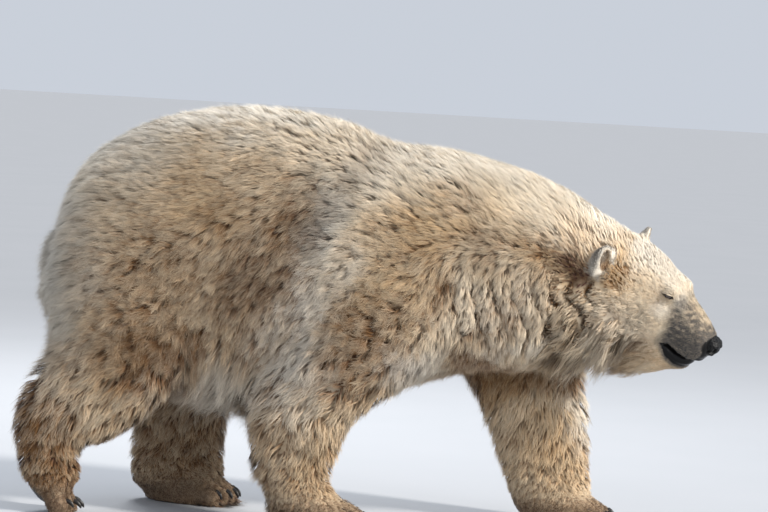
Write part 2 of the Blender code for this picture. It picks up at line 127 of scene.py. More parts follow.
def points_of(mesh):
    return rows_of(mesh.vertices, "co", 3).astype(np.float64)


def normals_of(mesh):
    return rows_of(mesh.vertices, "normal", 3).astype(np.float64)


def edges_of(mesh):
    return rows_of(mesh.edges, "vertices", 2, np.int32)


def mesh_from(work, name):
    """A named mesh of what has been worked, which is then freed."""
    mesh = bpy.data.meshes.new(name)
    work.to_mesh(mesh)
    work.free()
    return mesh


def put_points(mesh, points):
    mesh.vertices.foreach_set("co", points.astype(np.float32).ravel())
    mesh.update()


def relaxed(points, edges, weight, passes):
    """Each point drawn towards the middle of its neighbours, by its weight."""
    count = len(points)
    ends = np.concatenate([edges[:, 0], edges[:, 1]])
    others = np.concatenate([edges[:, 1], edges[:, 0]])
    degree = np.maximum(np.bincount(ends, minlength=count), 1)[:, None]
    for _turn in range(passes):
        total = np.stack([np.bincount(ends, points[others, axis], count) for axis in range(3)], axis=1)
        points = points + weight[:, None] * 0.5 * (total / degree - points)
    return points


def carved_body():
    """The carved pieces, each swollen by a hair so that the cuts between them close, as one mesh."""
    whole = bmesh.new()
    for name in FLESH:
        part = bmesh.new()
        part.from_mesh(frame["nodes"][name].data)
        bmesh.ops.remove_doubles(part, verts=part.verts, dist=1e-5)
        bmesh.ops.recalc_face_normals(part, faces=part.faces)
        for corner in part.verts:
            corner.co += corner.normal * SWELL
        piece = mesh_from(part, "part")
        whole.from_mesh(piece)
        bpy.data.meshes.remove(piece)
    return mesh_from(whole, "skin")


def bake_modifiers(piece):
    graph = bpy.context.evaluated_depsgraph_get()
    shaped = bpy.data.meshes.new_from_object(piece.evaluated_get(graph))
    piece.modifiers.clear()
    piece.data = shaped


FEET = {
    "fore_right": (centre_of("paw_fore_right"), 0.150),
    "fore_left": (centre_of("paw_fore_left"), 0.150),
    "hind_left": (centre_of("paw_hind_left"), 0.165),
    "hind_right": (centre_of("paw_hind_right"), 0.120),
}
EARS = {side: np.array(centre_of("ear_" + side)) for side in ("right", "left")}
TAIL = np.array(centre_of("tail"))
EAR_TURN = (16.0, -16.0, -14.0)
EAR_HALF = np.array([0.019, 0.033, 0.047])


def reach(points, middle):
    return np.linalg.norm(points - np.array(middle), axis=1)


def on_head(points):
    """1 on the head, 0 on the rest of the body."""
    forward, left, up = in_head(points).T
    return step(forward, -0.200, -0.080) * step(up, -0.330, -0.270) * step(np.abs(left), 0.240, 0.190)


def in_ear(points, side):
    """Places in an ear's own frame in halves of its size: out of its cup, across and up."""
    sign = -1.0 if side == "right" else 1.0
    turn = HEAD_AXES @ np.array(turned(sign * EAR_TURN[0], EAR_TURN[1], sign * EAR_TURN[2]))
    return ((points - EARS[side]) @ turn) / EAR_HALF, turn


def on_ears(points):
    near = [np.linalg.norm(in_ear(points, side)[0], axis=1) for side in EARS]
    return step(np.minimum(*near), 1.75, 1.30)


def in_ear_cups(points):
    total = np.zeros(len(points))
    for side in EARS:
        out, across, up = in_ear(points, side)[0].T
        cup = step(np.hypot(across / 0.64, (up - 0.05) / 0.76), 1.05, 0.70) * step(out, -0.3, 0.1)
        total = np.maximum(total, cup)
    return total


def fine_places(points):
    """1 where the form is small: the face, the ears and the feet."""
    face = step(in_head(points)[:, 0], 0.100, 0.200) * on_head(points)
    low = step(points[:, 2], 0.115, 0.070)
    return np.maximum.reduce([face, low, on_ears(points)])


def fold_zone(points):
    """The side of the neck that the head turns to, where the hide is pushed together."""
    x, y, z = points.T
    zone = step(x, 0.170, 0.260) * step(x, 0.640, 0.590) * step(y, -0.030, -0.100)
    return zone * step(z, 0.530, 0.590) * step(z, 0.790, 0.700)


def neck_folds(points):
    """Depth, 0 to 1, of the slanted folds there."""
    x, _y, z = points.T
    bent = 0.010 * np.sin(z * 31.0 + x * 9.0) + 0.006 * np.sin(z * 67.0 - x * 23.0)
    place = x + np.where(z < 0.68, 0.55, -0.10) * (z - 0.68) + bent
    wave = 0.5 + 0.5 * np.cos(2 * np.pi * (place - 0.262) / 0.058)
    return wave ** 3.5 * fold_zone(points) * (0.55 + 0.45 * step(z, 0.740, 0.680))


def toe_reach(points):
    claws = [centre_of(name) for name in frame["nodes"] if name.startswith("claw")]
    return np.min([reach(points, claw) for claw in claws], axis=0)


def toe_gaps(points):
    """1 in the clefts between the toes."""
    total = np.zeros(len(points))
    for foot, (middle, _length) in FEET.items():
        tips = np.array([centre_of(f"claw_{foot}_{index}") for index in range(1, 6)])
        ahead = unit((tips.mean(axis=0) - np.array(middle)) * (1.0, 1.0, 0.0))
        beside = np.array([-ahead[1], ahead[0], 0.0])
        away = points - tips.mean(axis=0)
        lines = np.sort((tips - tips.mean(axis=0)) @ beside)
        clefts = (lines[1:] + lines[:-1]) / 2
        gap = np.max([bump(away @ beside, cleft, 0.0085) for cleft in clefts], axis=0)
        zone = step(away @ ahead, -0.085, -0.050) * step(away @ ahead, 0.060, 0.030)
        total = np.maximum(total, gap * zone * step(np.abs(away[:, 2]), 0.085, 0.060))
    return total


def shoulder_hollow(points):
    """The slanting hollow between the shoulder blade and the ribs."""
    x, y, z = points.T
    across = (x + 0.075) * 0.80 - (z - 0.930) * 0.60
    return bump(across, 0.0, 0.060) * step(z, 0.760, 0.860) * step(np.abs(y), 0.040, 0.110)


def coat_depth(points):
    """How far the tips of the fur stand over the skin."""
    forward, _left, up = in_head(points).T
    height = points[:, 2]
    body = np.interp(height, [0.0, 0.03, 0.08, 0.15, 0.30, 0.45], [0.003, 0.004, 0.009, 0.022, 0.030, 0.036])
    body += 0.010 * step(points[:, 0], -0.620, -0.800) * step(height, 0.350, 0.500)
    head = np.interp(forward, [-0.15, -0.05, 0.05, 0.14, 0.20, 0.26, 0.36],
                     [0.032, 0.024, 0.015, 0.0085, 0.0045, 0.0028, 0.0020])
    head += 0.010 * step(up, -0.120, -0.200) * step(forward, 0.260, 0.160)
    head += 0.0075 * step(up, -0.030, -0.080) * step(forward, 0.215, 0.150)
    depth = body + (head - body) * on_head(points)
    depth += (0.0030 - depth) * on_ears(points)
    depth += (np.minimum(depth, 0.0055) - depth) * step(toe_reach(points), 0.095, 0.060)
    depth += (0.0190 - depth) * step(reach(points, TAIL), 0.110, 0.080) * step(points[:, 0], -0.870, -0.900)
    return depth


skin = new_piece("skin", carved_body())
shell = skin.modifiers.new("Draw", "REMESH")
shell.mode = "VOXEL"
shell.voxel_size = SKIN_GRAIN
bake_modifiers(skin)
outline = points_of(skin.data)
links = edges_of(skin.data)
fine = fine_places(outline)
outline = relaxed(outline, links, 1.0 - 0.90 * fine, ROUNDING)
put_points(skin.data, outline)
sole = step(outline[:, 2], 0.010, 0.004)
inward = normals_of(skin.data) * (coat_depth(outline) * (1.0 - sole))[:, None]
under = outline - inward
under = relaxed(under, links, 1.0 - 0.85 * fine, 5)
put_points(skin.data, under)
folds = neck_folds(under) * 0.019 + shoulder_hollow(under) * 0.012 + toe_gaps(under) * 0.019
folds += in_ear_cups(under) * 0.006
put_points(skin.data, under - normals_of(skin.data) * folds[:, None])


# ---- The face -----------------------------------------------------------------------------------
# The same hide where it is worked finest: lids that almost close over the eyes, the folds above
# them, the pads of the upper lip, the rim of the nose and the black lips round a parted mouth.
EYE_RADIUS = 0.0115
SLIT_HALF, SLIT_GAPE = 0.0172, 0.0028
EYES = {side: np.array(centre_of("eye_" + side)) for side in ("right", "left")}
NOSE_HALF = np.array([0.0270, 0.0305, 0.0275])


def divide(mesh, chosen):
    """Cut each chosen face in four."""
    work = bmesh.new()
    work.from_mesh(mesh)
    work.verts.ensure_lookup_table()
    faces = [face for face in work.faces if all(chosen[corner.index] for corner in face.verts)]
    edges = list({edge for face in faces for edge in face.edges})
    bmesh.ops.subdivide_edges(work, edges=edges, cuts=1, use_grid_fill=True)
    work.to_mesh(mesh)
    work.free()


def lid_frame(side):
    """Middle of an eye with its axes along the slit, up the lid and out of the head."""
    sign = -1.0 if side == "right" else 1.0
    out = unit(HEAD_AXES @ np.array([0.36, sign * 0.90, 0.25]))
    along = HEAD_AXES @ np.array([0.968, 0.0, 0.250])
    along = unit(along - out * (along @ out))
    up = np.cross(out, along)
    if up @ HEAD_AXES[:, 2] < 0:
        up = -up
    return EYES[side], along, up, out


def in_lid(points, side):
    middle, along, up, out = lid_frame(side)
    away = points - middle
    return away @ along, away @ up, away @ out


def slit_height(along):
    """Half the opening of the lids, widest in front of the middle."""
    return SLIT_GAPE * np.clip(1.0 - (along / SLIT_HALF) ** 2, 0.0, 1.0) * (0.80 + 14.0 * along)


def shape_lids(points, side):
    out = lid_frame(side)[3]
    s, t, o = in_lid(points, side)
    radius = np.hypot(s, t)
    front = step(o, -0.020, -0.008)
    ball = EYE_RADIUS + 0.0016
    dome = np.sqrt(np.clip(ball ** 2 - np.minimum(radius, ball * 0.98) ** 2, 0.0, None))
    lid = step(radius, 0.0185, 0.0085) * front
    rise = (dome - o) * lid
    hollow = 0.0028 * bump(radius, 0.026, 0.010) * front
    crease = 0.0030 * bump(t, 0.0090 - 14.0 * s * s, 0.0016) * step(np.abs(s), 0.019, 0.012)
    fold = 0.0030 * bump(t, 0.0155 - 12.0 * s * s, 0.0024) * step(np.abs(s), 0.024, 0.014)
    lower = 0.0012 * bump(t, -0.0075 + 12.0 * s * s, 0.0018) * step(np.abs(s), 0.016, 0.010)
    gap = step(np.abs(t), slit_height(s) + 0.0011, slit_height(s) * 0.6)
    gap *= 0.0042 * step(np.abs(s), SLIT_HALF + 0.002, SLIT_HALF - 0.003)
    edge = 0.0008 * bump(np.abs(t), slit_height(s) + 0.0022, 0.0012) * step(np.abs(s), SLIT_HALF, 0.010)
    move = rise - (hollow + crease + fold + lower + gap) * front + edge * front
    return points + out * move[:, None]


def lip_line(forward):
    """Height of the parted mouth's upper edge in the frame of the head."""
    places = [0.225, 0.246, 0.262, 0.290, 0.319, 0.337, 0.360]
    return np.interp(forward, places, [-0.099, -0.094, -0.085, -0.087, -0.085, -0.079, -0.076])


def lip_foot(forward):
    """Height of the lower lip's lower edge."""
    places = [0.240, 0.252, 0.274, 0.306, 0.330, 0.349, 0.358]
    return np.interp(forward, places, [-0.097, -0.104, -0.120, -0.125, -0.118, -0.100, -0.090])


def in_mouth(points):
    """1 on the black of the lips and of the mouth's inside."""
    forward, left, up = in_head(points).T
    zone = step(forward, 0.236, 0.246) * step(forward, 0.372, 0.364) * step(np.abs(left), 0.110, 0.100)
    zone *= step(up, lip_line(forward) + 0.0030, lip_line(forward) - 0.0010)
    return zone * step(up, lip_foot(forward) - 0.0025, lip_foot(forward) + 0.0020)


def nose_edge(up):
    """How far forward the black of the nose and of the lip below it begins."""
    heights = [-0.086, -0.076, -0.062, -0.045, -0.024, -0.010, 0.002, 0.014, 0.022]
    return np.interp(up, heights, [0.350, 0.343, 0.350, 0.348, 0.333, 0.335, 0.342, 0.352, 0.360])


def round_nose(points):
    """1 on the black leather round the nose and on the front of the upper lip."""
    forward, left, up = in_head(points).T
    edge = nose_edge(up) + 0.35 * np.maximum(np.abs(left) - 0.026, 0.0)
    front = step(forward, edge - 0.003, edge + 0.001)
    return front * step(up, -0.090, -0.086) * step(np.abs(left), 0.050, 0.040)


def shape_muzzle(points, normals):
    forward, left, up = in_head(points).T
    side = np.abs(left)
    lip, foot = lip_line(forward), lip_foot(forward)
    lip_pad = bump(forward, 0.315, 0.030) * bump(up, -0.068, 0.018)
    pad = lip_pad * step(side, 0.004, 0.018) * 0.0030
    overhang = bump(up, lip + 0.0045, 0.0045) * step(forward, 0.244, 0.266)
    overhang *= step(forward, 0.368, 0.350) * 0.0026
    mouth = in_mouth(points)
    cleft = mouth * bump(up, lip - 0.0060, 0.0045) * step(forward, 0.246, 0.262) * 0.0100
    roll = mouth * bump(up, 0.45 * lip + 0.55 * foot - 0.002, 0.0070) * step(forward, 0.250, 0.275) * 0.0036
    philtrum = bump(left, 0.0, 0.0028) * step(forward, 0.335, 0.350) * step(up, -0.040, -0.050) * 0.0030
    nose = ((in_head(points) - np.array(NOSE_PLACE)) / NOSE_HALF) ** 2
    seat = step(np.sqrt(nose.sum(axis=1)), 1.22, 1.05) * 0.0045
    wing = bump(forward, nose_edge(up) - 0.007, 0.006) * bump(up, -0.030, 0.022)
    wing *= step(side, 0.012, 0.020) * 0.0022
    cheek_line = bump(forward, 0.232 + 0.35 * (up + 0.030), 0.012) * step(up, 0.000, -0.030)
    cheek_line *= step(up, -0.110, -0.080) * 0.0018
    whisker_rows = np.cos(up * 2 * np.pi / 0.0085) * lip_pad * 0.0005
    move = pad + overhang + roll + wing + whisker_rows - cleft - philtrum - seat - cheek_line
    return points + normals * (move * on_head(points))[:, None]


def near_face(points):
    return (on_head(points) > 0.5) & (in_head(points)[:, 0] > 0.120)


def near_eyes(points, far):
    return np.minimum(*[reach(points, eye) for eye in EYES.values()]) < far


def near_features(points):
    forward, _left, up = in_head(points).T
    lids = near_eyes(points, 0.040)
    mouth = (forward > 0.225) & (up < -0.060) & (up > -0.140) & (on_head(points) > 0.5)
    return lids | mouth


def near_lids(points):
    forward, _left, up = in_head(points).T
    lids = near_eyes(points, 0.027)
    lips = (forward > 0.235) & (up < lip_line(forward) + 0.010) & (up > lip_foot(forward) - 0.006)
    return lids | (lips & (on_head(points) > 0.5))


def near_ears(points):
    return on_ears(points) > 0.25


def near_toes(points):
    return (points[:, 2] < 0.110) & (toe_reach(points) < 0.080)


for choose in (near_face, near_features, near_lids, near_ears, near_toes):
    divide(skin.data, choose(points_of(skin.data)))
    cut = points_of(skin.data)
    put_points(skin.data, relaxed(cut, edges_of(skin.data), choose(cut).astype(float), 3))
for side in EYES:
    put_points(skin.data, shape_lids(points_of(skin.data), side))
put_points(skin.data, shape_muzzle(points_of(skin.data), normals_of(skin.data)))
skin.data.shade_smooth()


# ---- The markings -------------------------------------------------------------------------------
# What colours skin and coat alike: cream hair, grey-white where it is cleanest, golden where it is
# oily and stained brown from lying on wet ground, in soft patches on both sides. Shade is painted in
# as well: grey in the hollows of the flank and shoulder, over the band behind the shoulder and on the
# rump, brown in the folds of the neck and on the chest, dark in the ear cups and between the toes.
# Brown stains, and in some patches brown painted shade: under the chest and in the hollow of the flank.
STAINS_AND_SHADE = [   # x, z, half length, half height, strength
    (-0.63, 0.63, 0.14, 0.13, 0.66),
    (-0.57, 0.48, 0.14, 0.11, 1.00),
    (-0.55, 0.76, 0.20, 0.15, 0.50),
    (-0.30, 0.68, 0.14, 0.16, 0.80),
    (-0.33, 0.52, 0.10, 0.08, 0.55),
    (-0.46, 0.90, 0.16, 0.12, 0.36),
    (-0.83, 0.26, 0.08, 0.10, 0.85),
    (0.76, 0.50, 0.10, 0.04, 0.45),
    (-0.40, 0.90, 0.26, 0.10, 0.36),
    (-0.72, 0.45, 0.14, 0.10, 0.50),
    (0.00, 0.57, 0.13, 0.11, 0.80),
    (-0.05, 0.46, 0.11, 0.09, 0.76),
    (0.10, 0.78, 0.14, 0.08, 0.35),
    (-0.22, 0.39, 0.06, 0.05, 0.50),
    (-0.92, 0.27, 0.10, 0.12, 1.00),
    (-0.86, 0.12, 0.16, 0.10, 0.90),
    (-0.26, 0.20, 0.07, 0.16, 0.40),
    (-0.14, 0.16, 0.16, 0.16, 0.35),
    (0.38, 0.45, 0.14, 0.05, 0.90),
    (0.18, 0.68, 0.04, 0.06, 0.70),
    (0.54, 0.79, 0.16, 0.06, 0.50),
    (0.74, 0.76, 0.09, 0.05, 0.30),
    (-0.21, 0.83, 0.07, 0.10, 0.80),
    (0.50, 0.72, 0.12, 0.06, 0.30),
    (0.50, 0.20, 0.16, 0.20, 0.22),
    (-0.50, 0.18, 0.18, 0.24, 0.60),
    (0.36, 0.62, 0.05, 0.08, 0.45),
    (0.29, 0.81, 0.10, 0.05, 0.42),
    (-0.43, 0.83, 0.07, 0.10, 0.62),
    (-0.49, 0.68, 0.07, 0.10, 0.60),
    (0.25, 0.91, 0.08, 0.05, 0.36),
    (0.28, 0.56, 0.04, 0.03, 0.40),
    (0.75, 0.73, 0.05, 0.04, 0.50),
]
GOLDS = [
    (-0.45, 0.88, 0.18, 0.14, 0.62),
    (-0.66, 0.44, 0.16, 0.12, 0.60),
    (0.07, 0.70, 0.14, 0.12, 0.60),
    (-0.30, 0.80, 0.22, 0.20, 0.35),
    (0.16, 0.84, 0.16, 0.10, 0.70),
    (0.10, 0.46, 0.10, 0.12, 0.55),
    (-0.10, 0.20, 0.14, 0.18, 0.55),
    (0.58, 0.25, 0.20, 0.24, 0.62),
    (0.84, 0.50, 0.08, 0.04, 0.50),
    (0.76, 0.50, 0.10, 0.05, 0.55),
    (0.60, 0.78, 0.20, 0.09, 0.85),
    (0.38, 0.44, 0.14, 0.06, 0.80),
    (-0.50, 0.20, 0.14, 0.20, 0.30),
]
# Grey-white hair; over the band behind the shoulder and on the rump this grey is painted shade.
GREYS_AND_SHADE = [
    (-0.35, 1.12, 0.50, 0.07, 0.75),
    (0.30, 1.04, 0.45, 0.09, 0.60),
    (0.62, 0.92, 0.16, 0.10, 0.60),
    (0.80, 0.80, 0.10, 0.06, 0.60),
    (-0.90, 0.80, 0.14, 0.36, 0.90),
    (-0.74, 1.04, 0.16, 0.12, 0.65),
    (-0.10, 0.82, 0.06, 0.16, 0.75),
    (-0.16, 0.62, 0.06, 0.16, 0.85),
    (-0.20, 0.46, 0.10, 0.12, 0.80),
    (-0.34, 0.40, 0.20, 0.08, 0.70),
    (0.02, 1.00, 0.12, 0.10, 0.60),
    (0.35, 0.66, 0.12, 0.08, 0.34),
    (0.30, 0.60, 0.10, 0.05, 0.40),
    (0.43, 0.56, 0.14, 0.02, 0.50),
    (0.84, 0.69, 0.03, 0.03, 0.60),
    (0.11, 0.50, 0.08, 0.06, 1.00),
    (0.61, 0.37, 0.04, 0.10, 0.70),
    (-0.88, 0.52, 0.10, 0.10, 0.60),
]
# Painted shade: grey darkening in the hollows of the flank and behind the shoulder, on the rump and on the
# neck.
SHADE_PATCHES = [
    (-0.15, 0.87, 0.06, 0.10, 0.60),
    (-0.05, 0.93, 0.04, 0.06, 0.36),
    (-0.84, 0.74, 0.08, 0.22, 0.34),
    (-0.66, 1.05, 0.14, 0.06, 0.26),
    (0.28, 0.80, 0.07, 0.07, 0.20),
    (0.34, 0.95, 0.10, 0.05, 0.16),
    (-0.19, 0.54, 0.05, 0.10, 0.14),
    (-0.29, 0.70, 0.08, 0.14, 0.34),
    (-0.33, 0.88, 0.08, 0.08, 0.14),
]


def patch(points, table, softness=0.92):
    """Strength of a set of soft patches, seen from the side and wandering at their edges."""
    x, _y, z = points.T
    total = np.zeros(len(points))
    for middle_x, middle_z, half_x, half_z, strength in table:
        away = np.hypot((x - middle_x) / half_x, (z - middle_z) / half_z)
        total = np.maximum(total, strength * step(away, 1.0 + softness, 1.0 - softness))
    return total


def waver(points, size, seed):
    """Smooth random hills, -1 to 1, of about the given size."""
    rng = np.random.default_rng(seed)
    total = np.zeros(len(points))
    for _wave in range(14):
        direction = unit(rng.normal(size=3))
        length = size * rng.uniform(0.7, 1.5)
        total += np.sin(points @ direction * (2 * np.pi / length) + rng.uniform(0, 6.28))
    return np.clip(total / 4.0, -1.0, 1.0)


def behind_ear(points):
    """The dark matted hair behind and below the foot of each ear."""
    forward, left, up = in_head(points).T
    side = step(np.abs(left), 0.080, 0.110)
    root = step(np.hypot(forward + 0.024, up + 0.058), 0.044, 0.018)
    tail = 0.85 * step(np.hypot((forward + 0.058) / 1.4, up + 0.042), 0.046, 0.016)
    inner = 0.60 * step(np.hypot(forward - 0.020, (up + 0.022) / 1.5), 0.024, 0.008)
    return np.maximum.reduce([root, tail, inner]) * side * (1.0 - 0.85 * ear_shell(points))


def ear_shell(points):
    """The velvet of the ears' backs and rims."""
    return on_ears(points) * (1.0 - in_ear_cups(points)) * step(in_head(points)[:, 2], -0.045, -0.025)


def ear_back(points):
    """The grey backs of the ears."""
    total = np.zeros(len(points))
    for side in EARS:
        place = in_ear(points, side)[0]
        back = step(np.linalg.norm(place, axis=1), 1.75, 1.30) * step(place[:, 0], 0.35, -0.15)
        total = np.maximum(total, back)
    return total


def muzzle_grey(points):
    """The thin-haired sides of the muzzle, where grey skin shows."""
    forward, left, up = in_head(points).T
    edge = np.interp(up, [-0.110, -0.087, -0.047, -0.020, 0.008, 0.033],
                     [0.240, 0.240, 0.241, 0.230, 0.218, 0.208])
    zone = step(forward, edge - 0.022, edge + 0.018) * step(up, lip_foot(forward) - 0.016, lip_foot(forward))
    zone *= 1.0 - 0.50 * bump(left, 0.0, 0.034) * step(up, -0.010, 0.020) * step(forward, 0.330, 0.300)
    bridge = np.interp(forward, [0.18, 0.21, 0.26, 0.33, 0.37], [0.044, 0.060, 0.056, 0.040, 0.020])
    low = np.clip((bridge - up) / 0.110, 0.0, 1.0)
    grade = 0.58 + 0.50 * low + 0.30 * step(forward, 0.300, 0.345) + 0.32 * waver(points, 0.013, 9)
    return zone * step(up, bridge + 0.012, bridge - 0.020) * np.clip(grade, 0.0, 1.0) * on_head(points)


def lid_grey(points):
    total = np.zeros(len(points))
    for side in EYES:
        s, t, o = in_lid(points, side)
        total = np.maximum(total, step(np.hypot(s / 1.5, t - 0.005), 0.020, 0.008) * step(o, -0.020, -0.008))
    return total


def lid_black(points):
    total = np.zeros(len(points))
    for side in EYES:
        s, t, o = in_lid(points, side)
        rim = step(np.abs(t), slit_height(s) + 0.0036, slit_height(s) + 0.0018)
        rim *= step(np.abs(s), SLIT_HALF + 0.004, SLIT_HALF) * step(o, -0.020, -0.008)
        total = np.maximum(total, rim)
    return total


def sole_black(points, normals):
    """The bare pads under the feet; the lifted foot shows them behind and below."""
    flat = step(points[:, 2], 0.012, 0.006) * step(normals[:, 2], -0.3, -0.7)
    middle = np.array(FEET["hind_right"][0])
    away = points - middle
    lifted = step(reach(points, middle), 0.150, 0.120)
    lifted *= step(normals @ unit(np.array([-0.80, 0.0, -0.60])), 0.55, 0.80)
    pads = bump(away[:, 1], 0.0, 0.060) * step(points[:, 2], 0.110, 0.070)
    return np.maximum(flat, lifted * step(pads, 0.25, 0.6))


def face_marks(points, cloud):
    """Markings of the head: brown before the ears, golden temples, white crown and lower lids."""
    forward, left, up = in_head(points).T
    head, side = on_head(points), np.abs(left)
    before_ear = step(np.hypot(forward - 0.050, up - 0.006), 0.060, 0.018) * step(side, 0.080, 0.110)
    temple = 0.80 * bump(forward, 0.045, 0.085) * bump(up, -0.015, 0.045) * step(side, 0.060, 0.090)
    cheek = 0.14 * bump(forward, 0.070, 0.100) * bump(up, -0.110, 0.080) * head * (0.4 + cloud)
    muzzle = 0.42 * muzzle_grey(points) * step(up, -0.060, -0.010) * cloud
    low = 0.42 * step(up, 0.050, -0.040) * step(forward, 0.230, 0.170)
    white_lid = 0.65 * bump(forward, 0.196, 0.028) * bump(up, -0.010, 0.028)
    white_cheek = 0.36 * bump(forward, 0.140, 0.090) * bump(up, -0.110, 0.085)
    crown = 0.70 * step(up, 0.036, 0.062) * step(forward, -0.020, 0.040)
    return {
        "stain_and_shade": np.maximum.reduce([before_ear, cheek, 0.30 * temple, muzzle]),
        "gold": np.maximum(low, temple) * head,
        "pale": np.maximum.reduce([white_lid, white_cheek, crown]) * head,
    }


def marks(points, normals):
    """The strength, 0 to 1, of each marking at each place."""
    x, _y, z = points.T
    wander = points + 0.030 * np.stack([waver(points, 0.12, seed) for seed in (1, 2, 3)], axis=1)
    cloud = 0.5 + 0.5 * waver(points, 0.055, 4)
    face, cups, feet = face_marks(points, cloud), in_ear_cups(points), step(z, 0.110, 0.040)
    # The chest between the forelegs, below a slanting line, is painted brown: partly its golden-brown hair,
    # partly painted shade.
    chest_shade = step(z + 0.256 * (x - 0.224), 0.565, 0.535) * step(x, 0.200, 0.270) * step(x, 0.640, 0.580)
    chest_shade *= step(z, 0.370, 0.450) * step(normals[:, 1], 0.500, -0.100)
    haunch = 0.26 * bump(x, -0.560, 0.110) * bump(z, 0.480, 0.085) * (0.4 + cloud)
    # Grey-white, partly painted shade over the band behind the shoulder and on the rump, takes the gold out
    # of the hair.
    pale = patch(wander, GREYS_AND_SHADE)
    stain_and_shade = patch(wander, STAINS_AND_SHADE) * (0.72 + 0.45 * cloud) * (1.0 - 0.55 * pale)
    # Painted shade joins the stains: brown in the valleys of the neck's folds, on the chest between the
    # forelegs and a little in the hollow behind the shoulder.
    stain_and_shade = np.maximum.reduce([stain_and_shade, 1.30 * neck_folds(points), 0.85 * chest_shade, 0.64 * feet, face["stain_and_shade"]])
    stain_and_shade = np.maximum(stain_and_shade * (1.0 - on_ears(points) * (1.0 - cups)), 0.15 * shoulder_hollow(points))
    pale = np.maximum.reduce([pale * (1.0 - 0.8 * chest_shade), 0.80 * ear_shell(points), face["pale"]])
    gold = np.maximum.reduce([patch(wander, GOLDS), face["gold"], np.full(len(points), 0.40)])
    # Painted shade: the ear cups darkened, most at their foot, and the clefts between the toes.
    ear_cup_shade = 0.90 * cups * (1.0 - 0.5 * step(in_head(points)[:, 2], 0.010, 0.045))
    dark = np.maximum.reduce([behind_ear(points), 0.85 * toe_gaps(points), haunch, ear_cup_shade])
    # Grey of the muzzle's skin, the lids, the ears' backs and the feet, and grey painted shade from the table
    # of shade patches.
    slate_and_shade = np.maximum.reduce([muzzle_grey(points), 0.26 * lid_grey(points), patch(wander, SHADE_PATCHES),
                               0.62 * ear_back(points), 0.26 * feet])
    black = np.maximum(in_mouth(points), round_nose(points)) * on_head(points)
    bare = np.maximum.reduce([black, lid_black(points), sole_black(points, normals)])
    gold = gold * (1.0 - pale)
    found = {"stain_and_shade": stain_and_shade, "gold": gold, "pale": pale, "dark": dark, "slate_and_shade": slate_and_shade, "bare": bare}
    return {mark: np.clip(strength, 0.0, 1.0) for mark, strength in found.items()}


MIX_PART, MIX_LOW, MIX_HIGH, MIXED = 0, 6, 7, 2   # sockets of a mix of colours, whose names repeat


class Wire:
    """A number, colour or vector on its way through the nodes of a finish."""

    def __init__(self, tree, socket=None):
        self.tree, self.socket = tree, socket

    def node(self, kind, settings, inputs, out=0):
        """Any node: its settings go first, then its sockets take numbers, colours or wires."""
        made = self.tree.nodes.new(kind)
        for key, value in settings.items():
            setattr(made, key, value)
        for key, value in inputs.items():
            if isinstance(value, Wire):
                self.tree.links.new(value.socket, made.inputs[key])
            else:
                made.inputs[key].default_value = value
        return Wire(self.tree, made.outputs[out])

    def sum_of(self, operation, first, second):
        return self.node("ShaderNodeMath", {"operation": operation}, {0: first, 1: second})

    def __add__(self, other):
        return self.sum_of("ADD", self, other)

    def __sub__(self, other):
        return self.sum_of("SUBTRACT", self, other)

    def __rsub__(self, other):
        return self.sum_of("SUBTRACT", other, self)

    def __mul__(self, other):
        return self.sum_of("MULTIPLY", self, other)

    def __pow__(self, other):
        return self.sum_of("POWER", self, other)

    __radd__ = __add__
    __rmul__ = __mul__

    def clipped(self):
        return self.node("ShaderNodeClamp", {}, {0: self})

    def blend(self, low, high):
        """The colour between two, by this number."""
        mixed = {MIX_PART: self, MIX_LOW: low, MIX_HIGH: high}
        return self.node("ShaderNodeMix", {"data_type": "RGBA"}, mixed, out=MIXED)

    def mark(self, name):
        return self.node("ShaderNodeAttribute", {"attribute_name": name}, {}, out="Fac")

    def object_place(self):
        return self.node("ShaderNodeTexCoord", {}, {}, out="Object")

    def cloud(self, scale, detail=2.0, place=None):
        place = place or self.object_place()
        return self.node("ShaderNodeTexNoise", {}, {"Vector": place, "Scale": scale, "Detail": detail})


def tint(red, green, blue):
    """A linear colour from a paint chip's values of 0 to 255."""
    return tuple(((part / 255.0 + 0.055) / 1.055) ** 2.4 for part in (red, green, blue)) + (1.0,)


def finish(name, **constants):
    """A new finish; returns it with a wire to build on and its shader."""
    made = bpy.data.materials.new(name)
    made.use_nodes = True
    shader = made.node_tree.nodes["Principled BSDF"]
    for key, value in constants.items():
        shader.inputs[key.replace("_", " ")].default_value = value
    return made, Wire(made.node_tree), shader


def feed(wire, shader, socket):
    wire.tree.links.new(wire.socket, shader.inputs[socket])


def emboss(height, shader, strength, depth):
    """Raise a finish where its pattern is light."""
    raised = {"Strength": strength, "Distance": depth, "Height": height}
    feed(height.node("ShaderNodeBump", {}, raised), shader, "Normal")


def set_mark(mesh, name, values):
    layer = mesh.attributes.new(name, "FLOAT", "POINT")
    layer.data.foreach_set("value", values.astype(np.float32))


CREAM, PALE, GOLD = tint(248, 237, 214), tint(238, 231, 219), tint(228, 188, 128)
# The darkest brown is also the colour of painted shade in the ear cups and between the toes.
BROWN, ROOT_BROWN, DARK_BROWN_AND_SHADE = tint(138, 98, 52), tint(76, 46, 24), tint(62, 32, 17)
# The dark grey of skin showing through, also the colour of painted shade.
SLATE_AND_SHADE = tint(60, 60, 62)
HIDE_DEPTH = 0.36            # the hide is coloured as hair is this far from its tip to its root


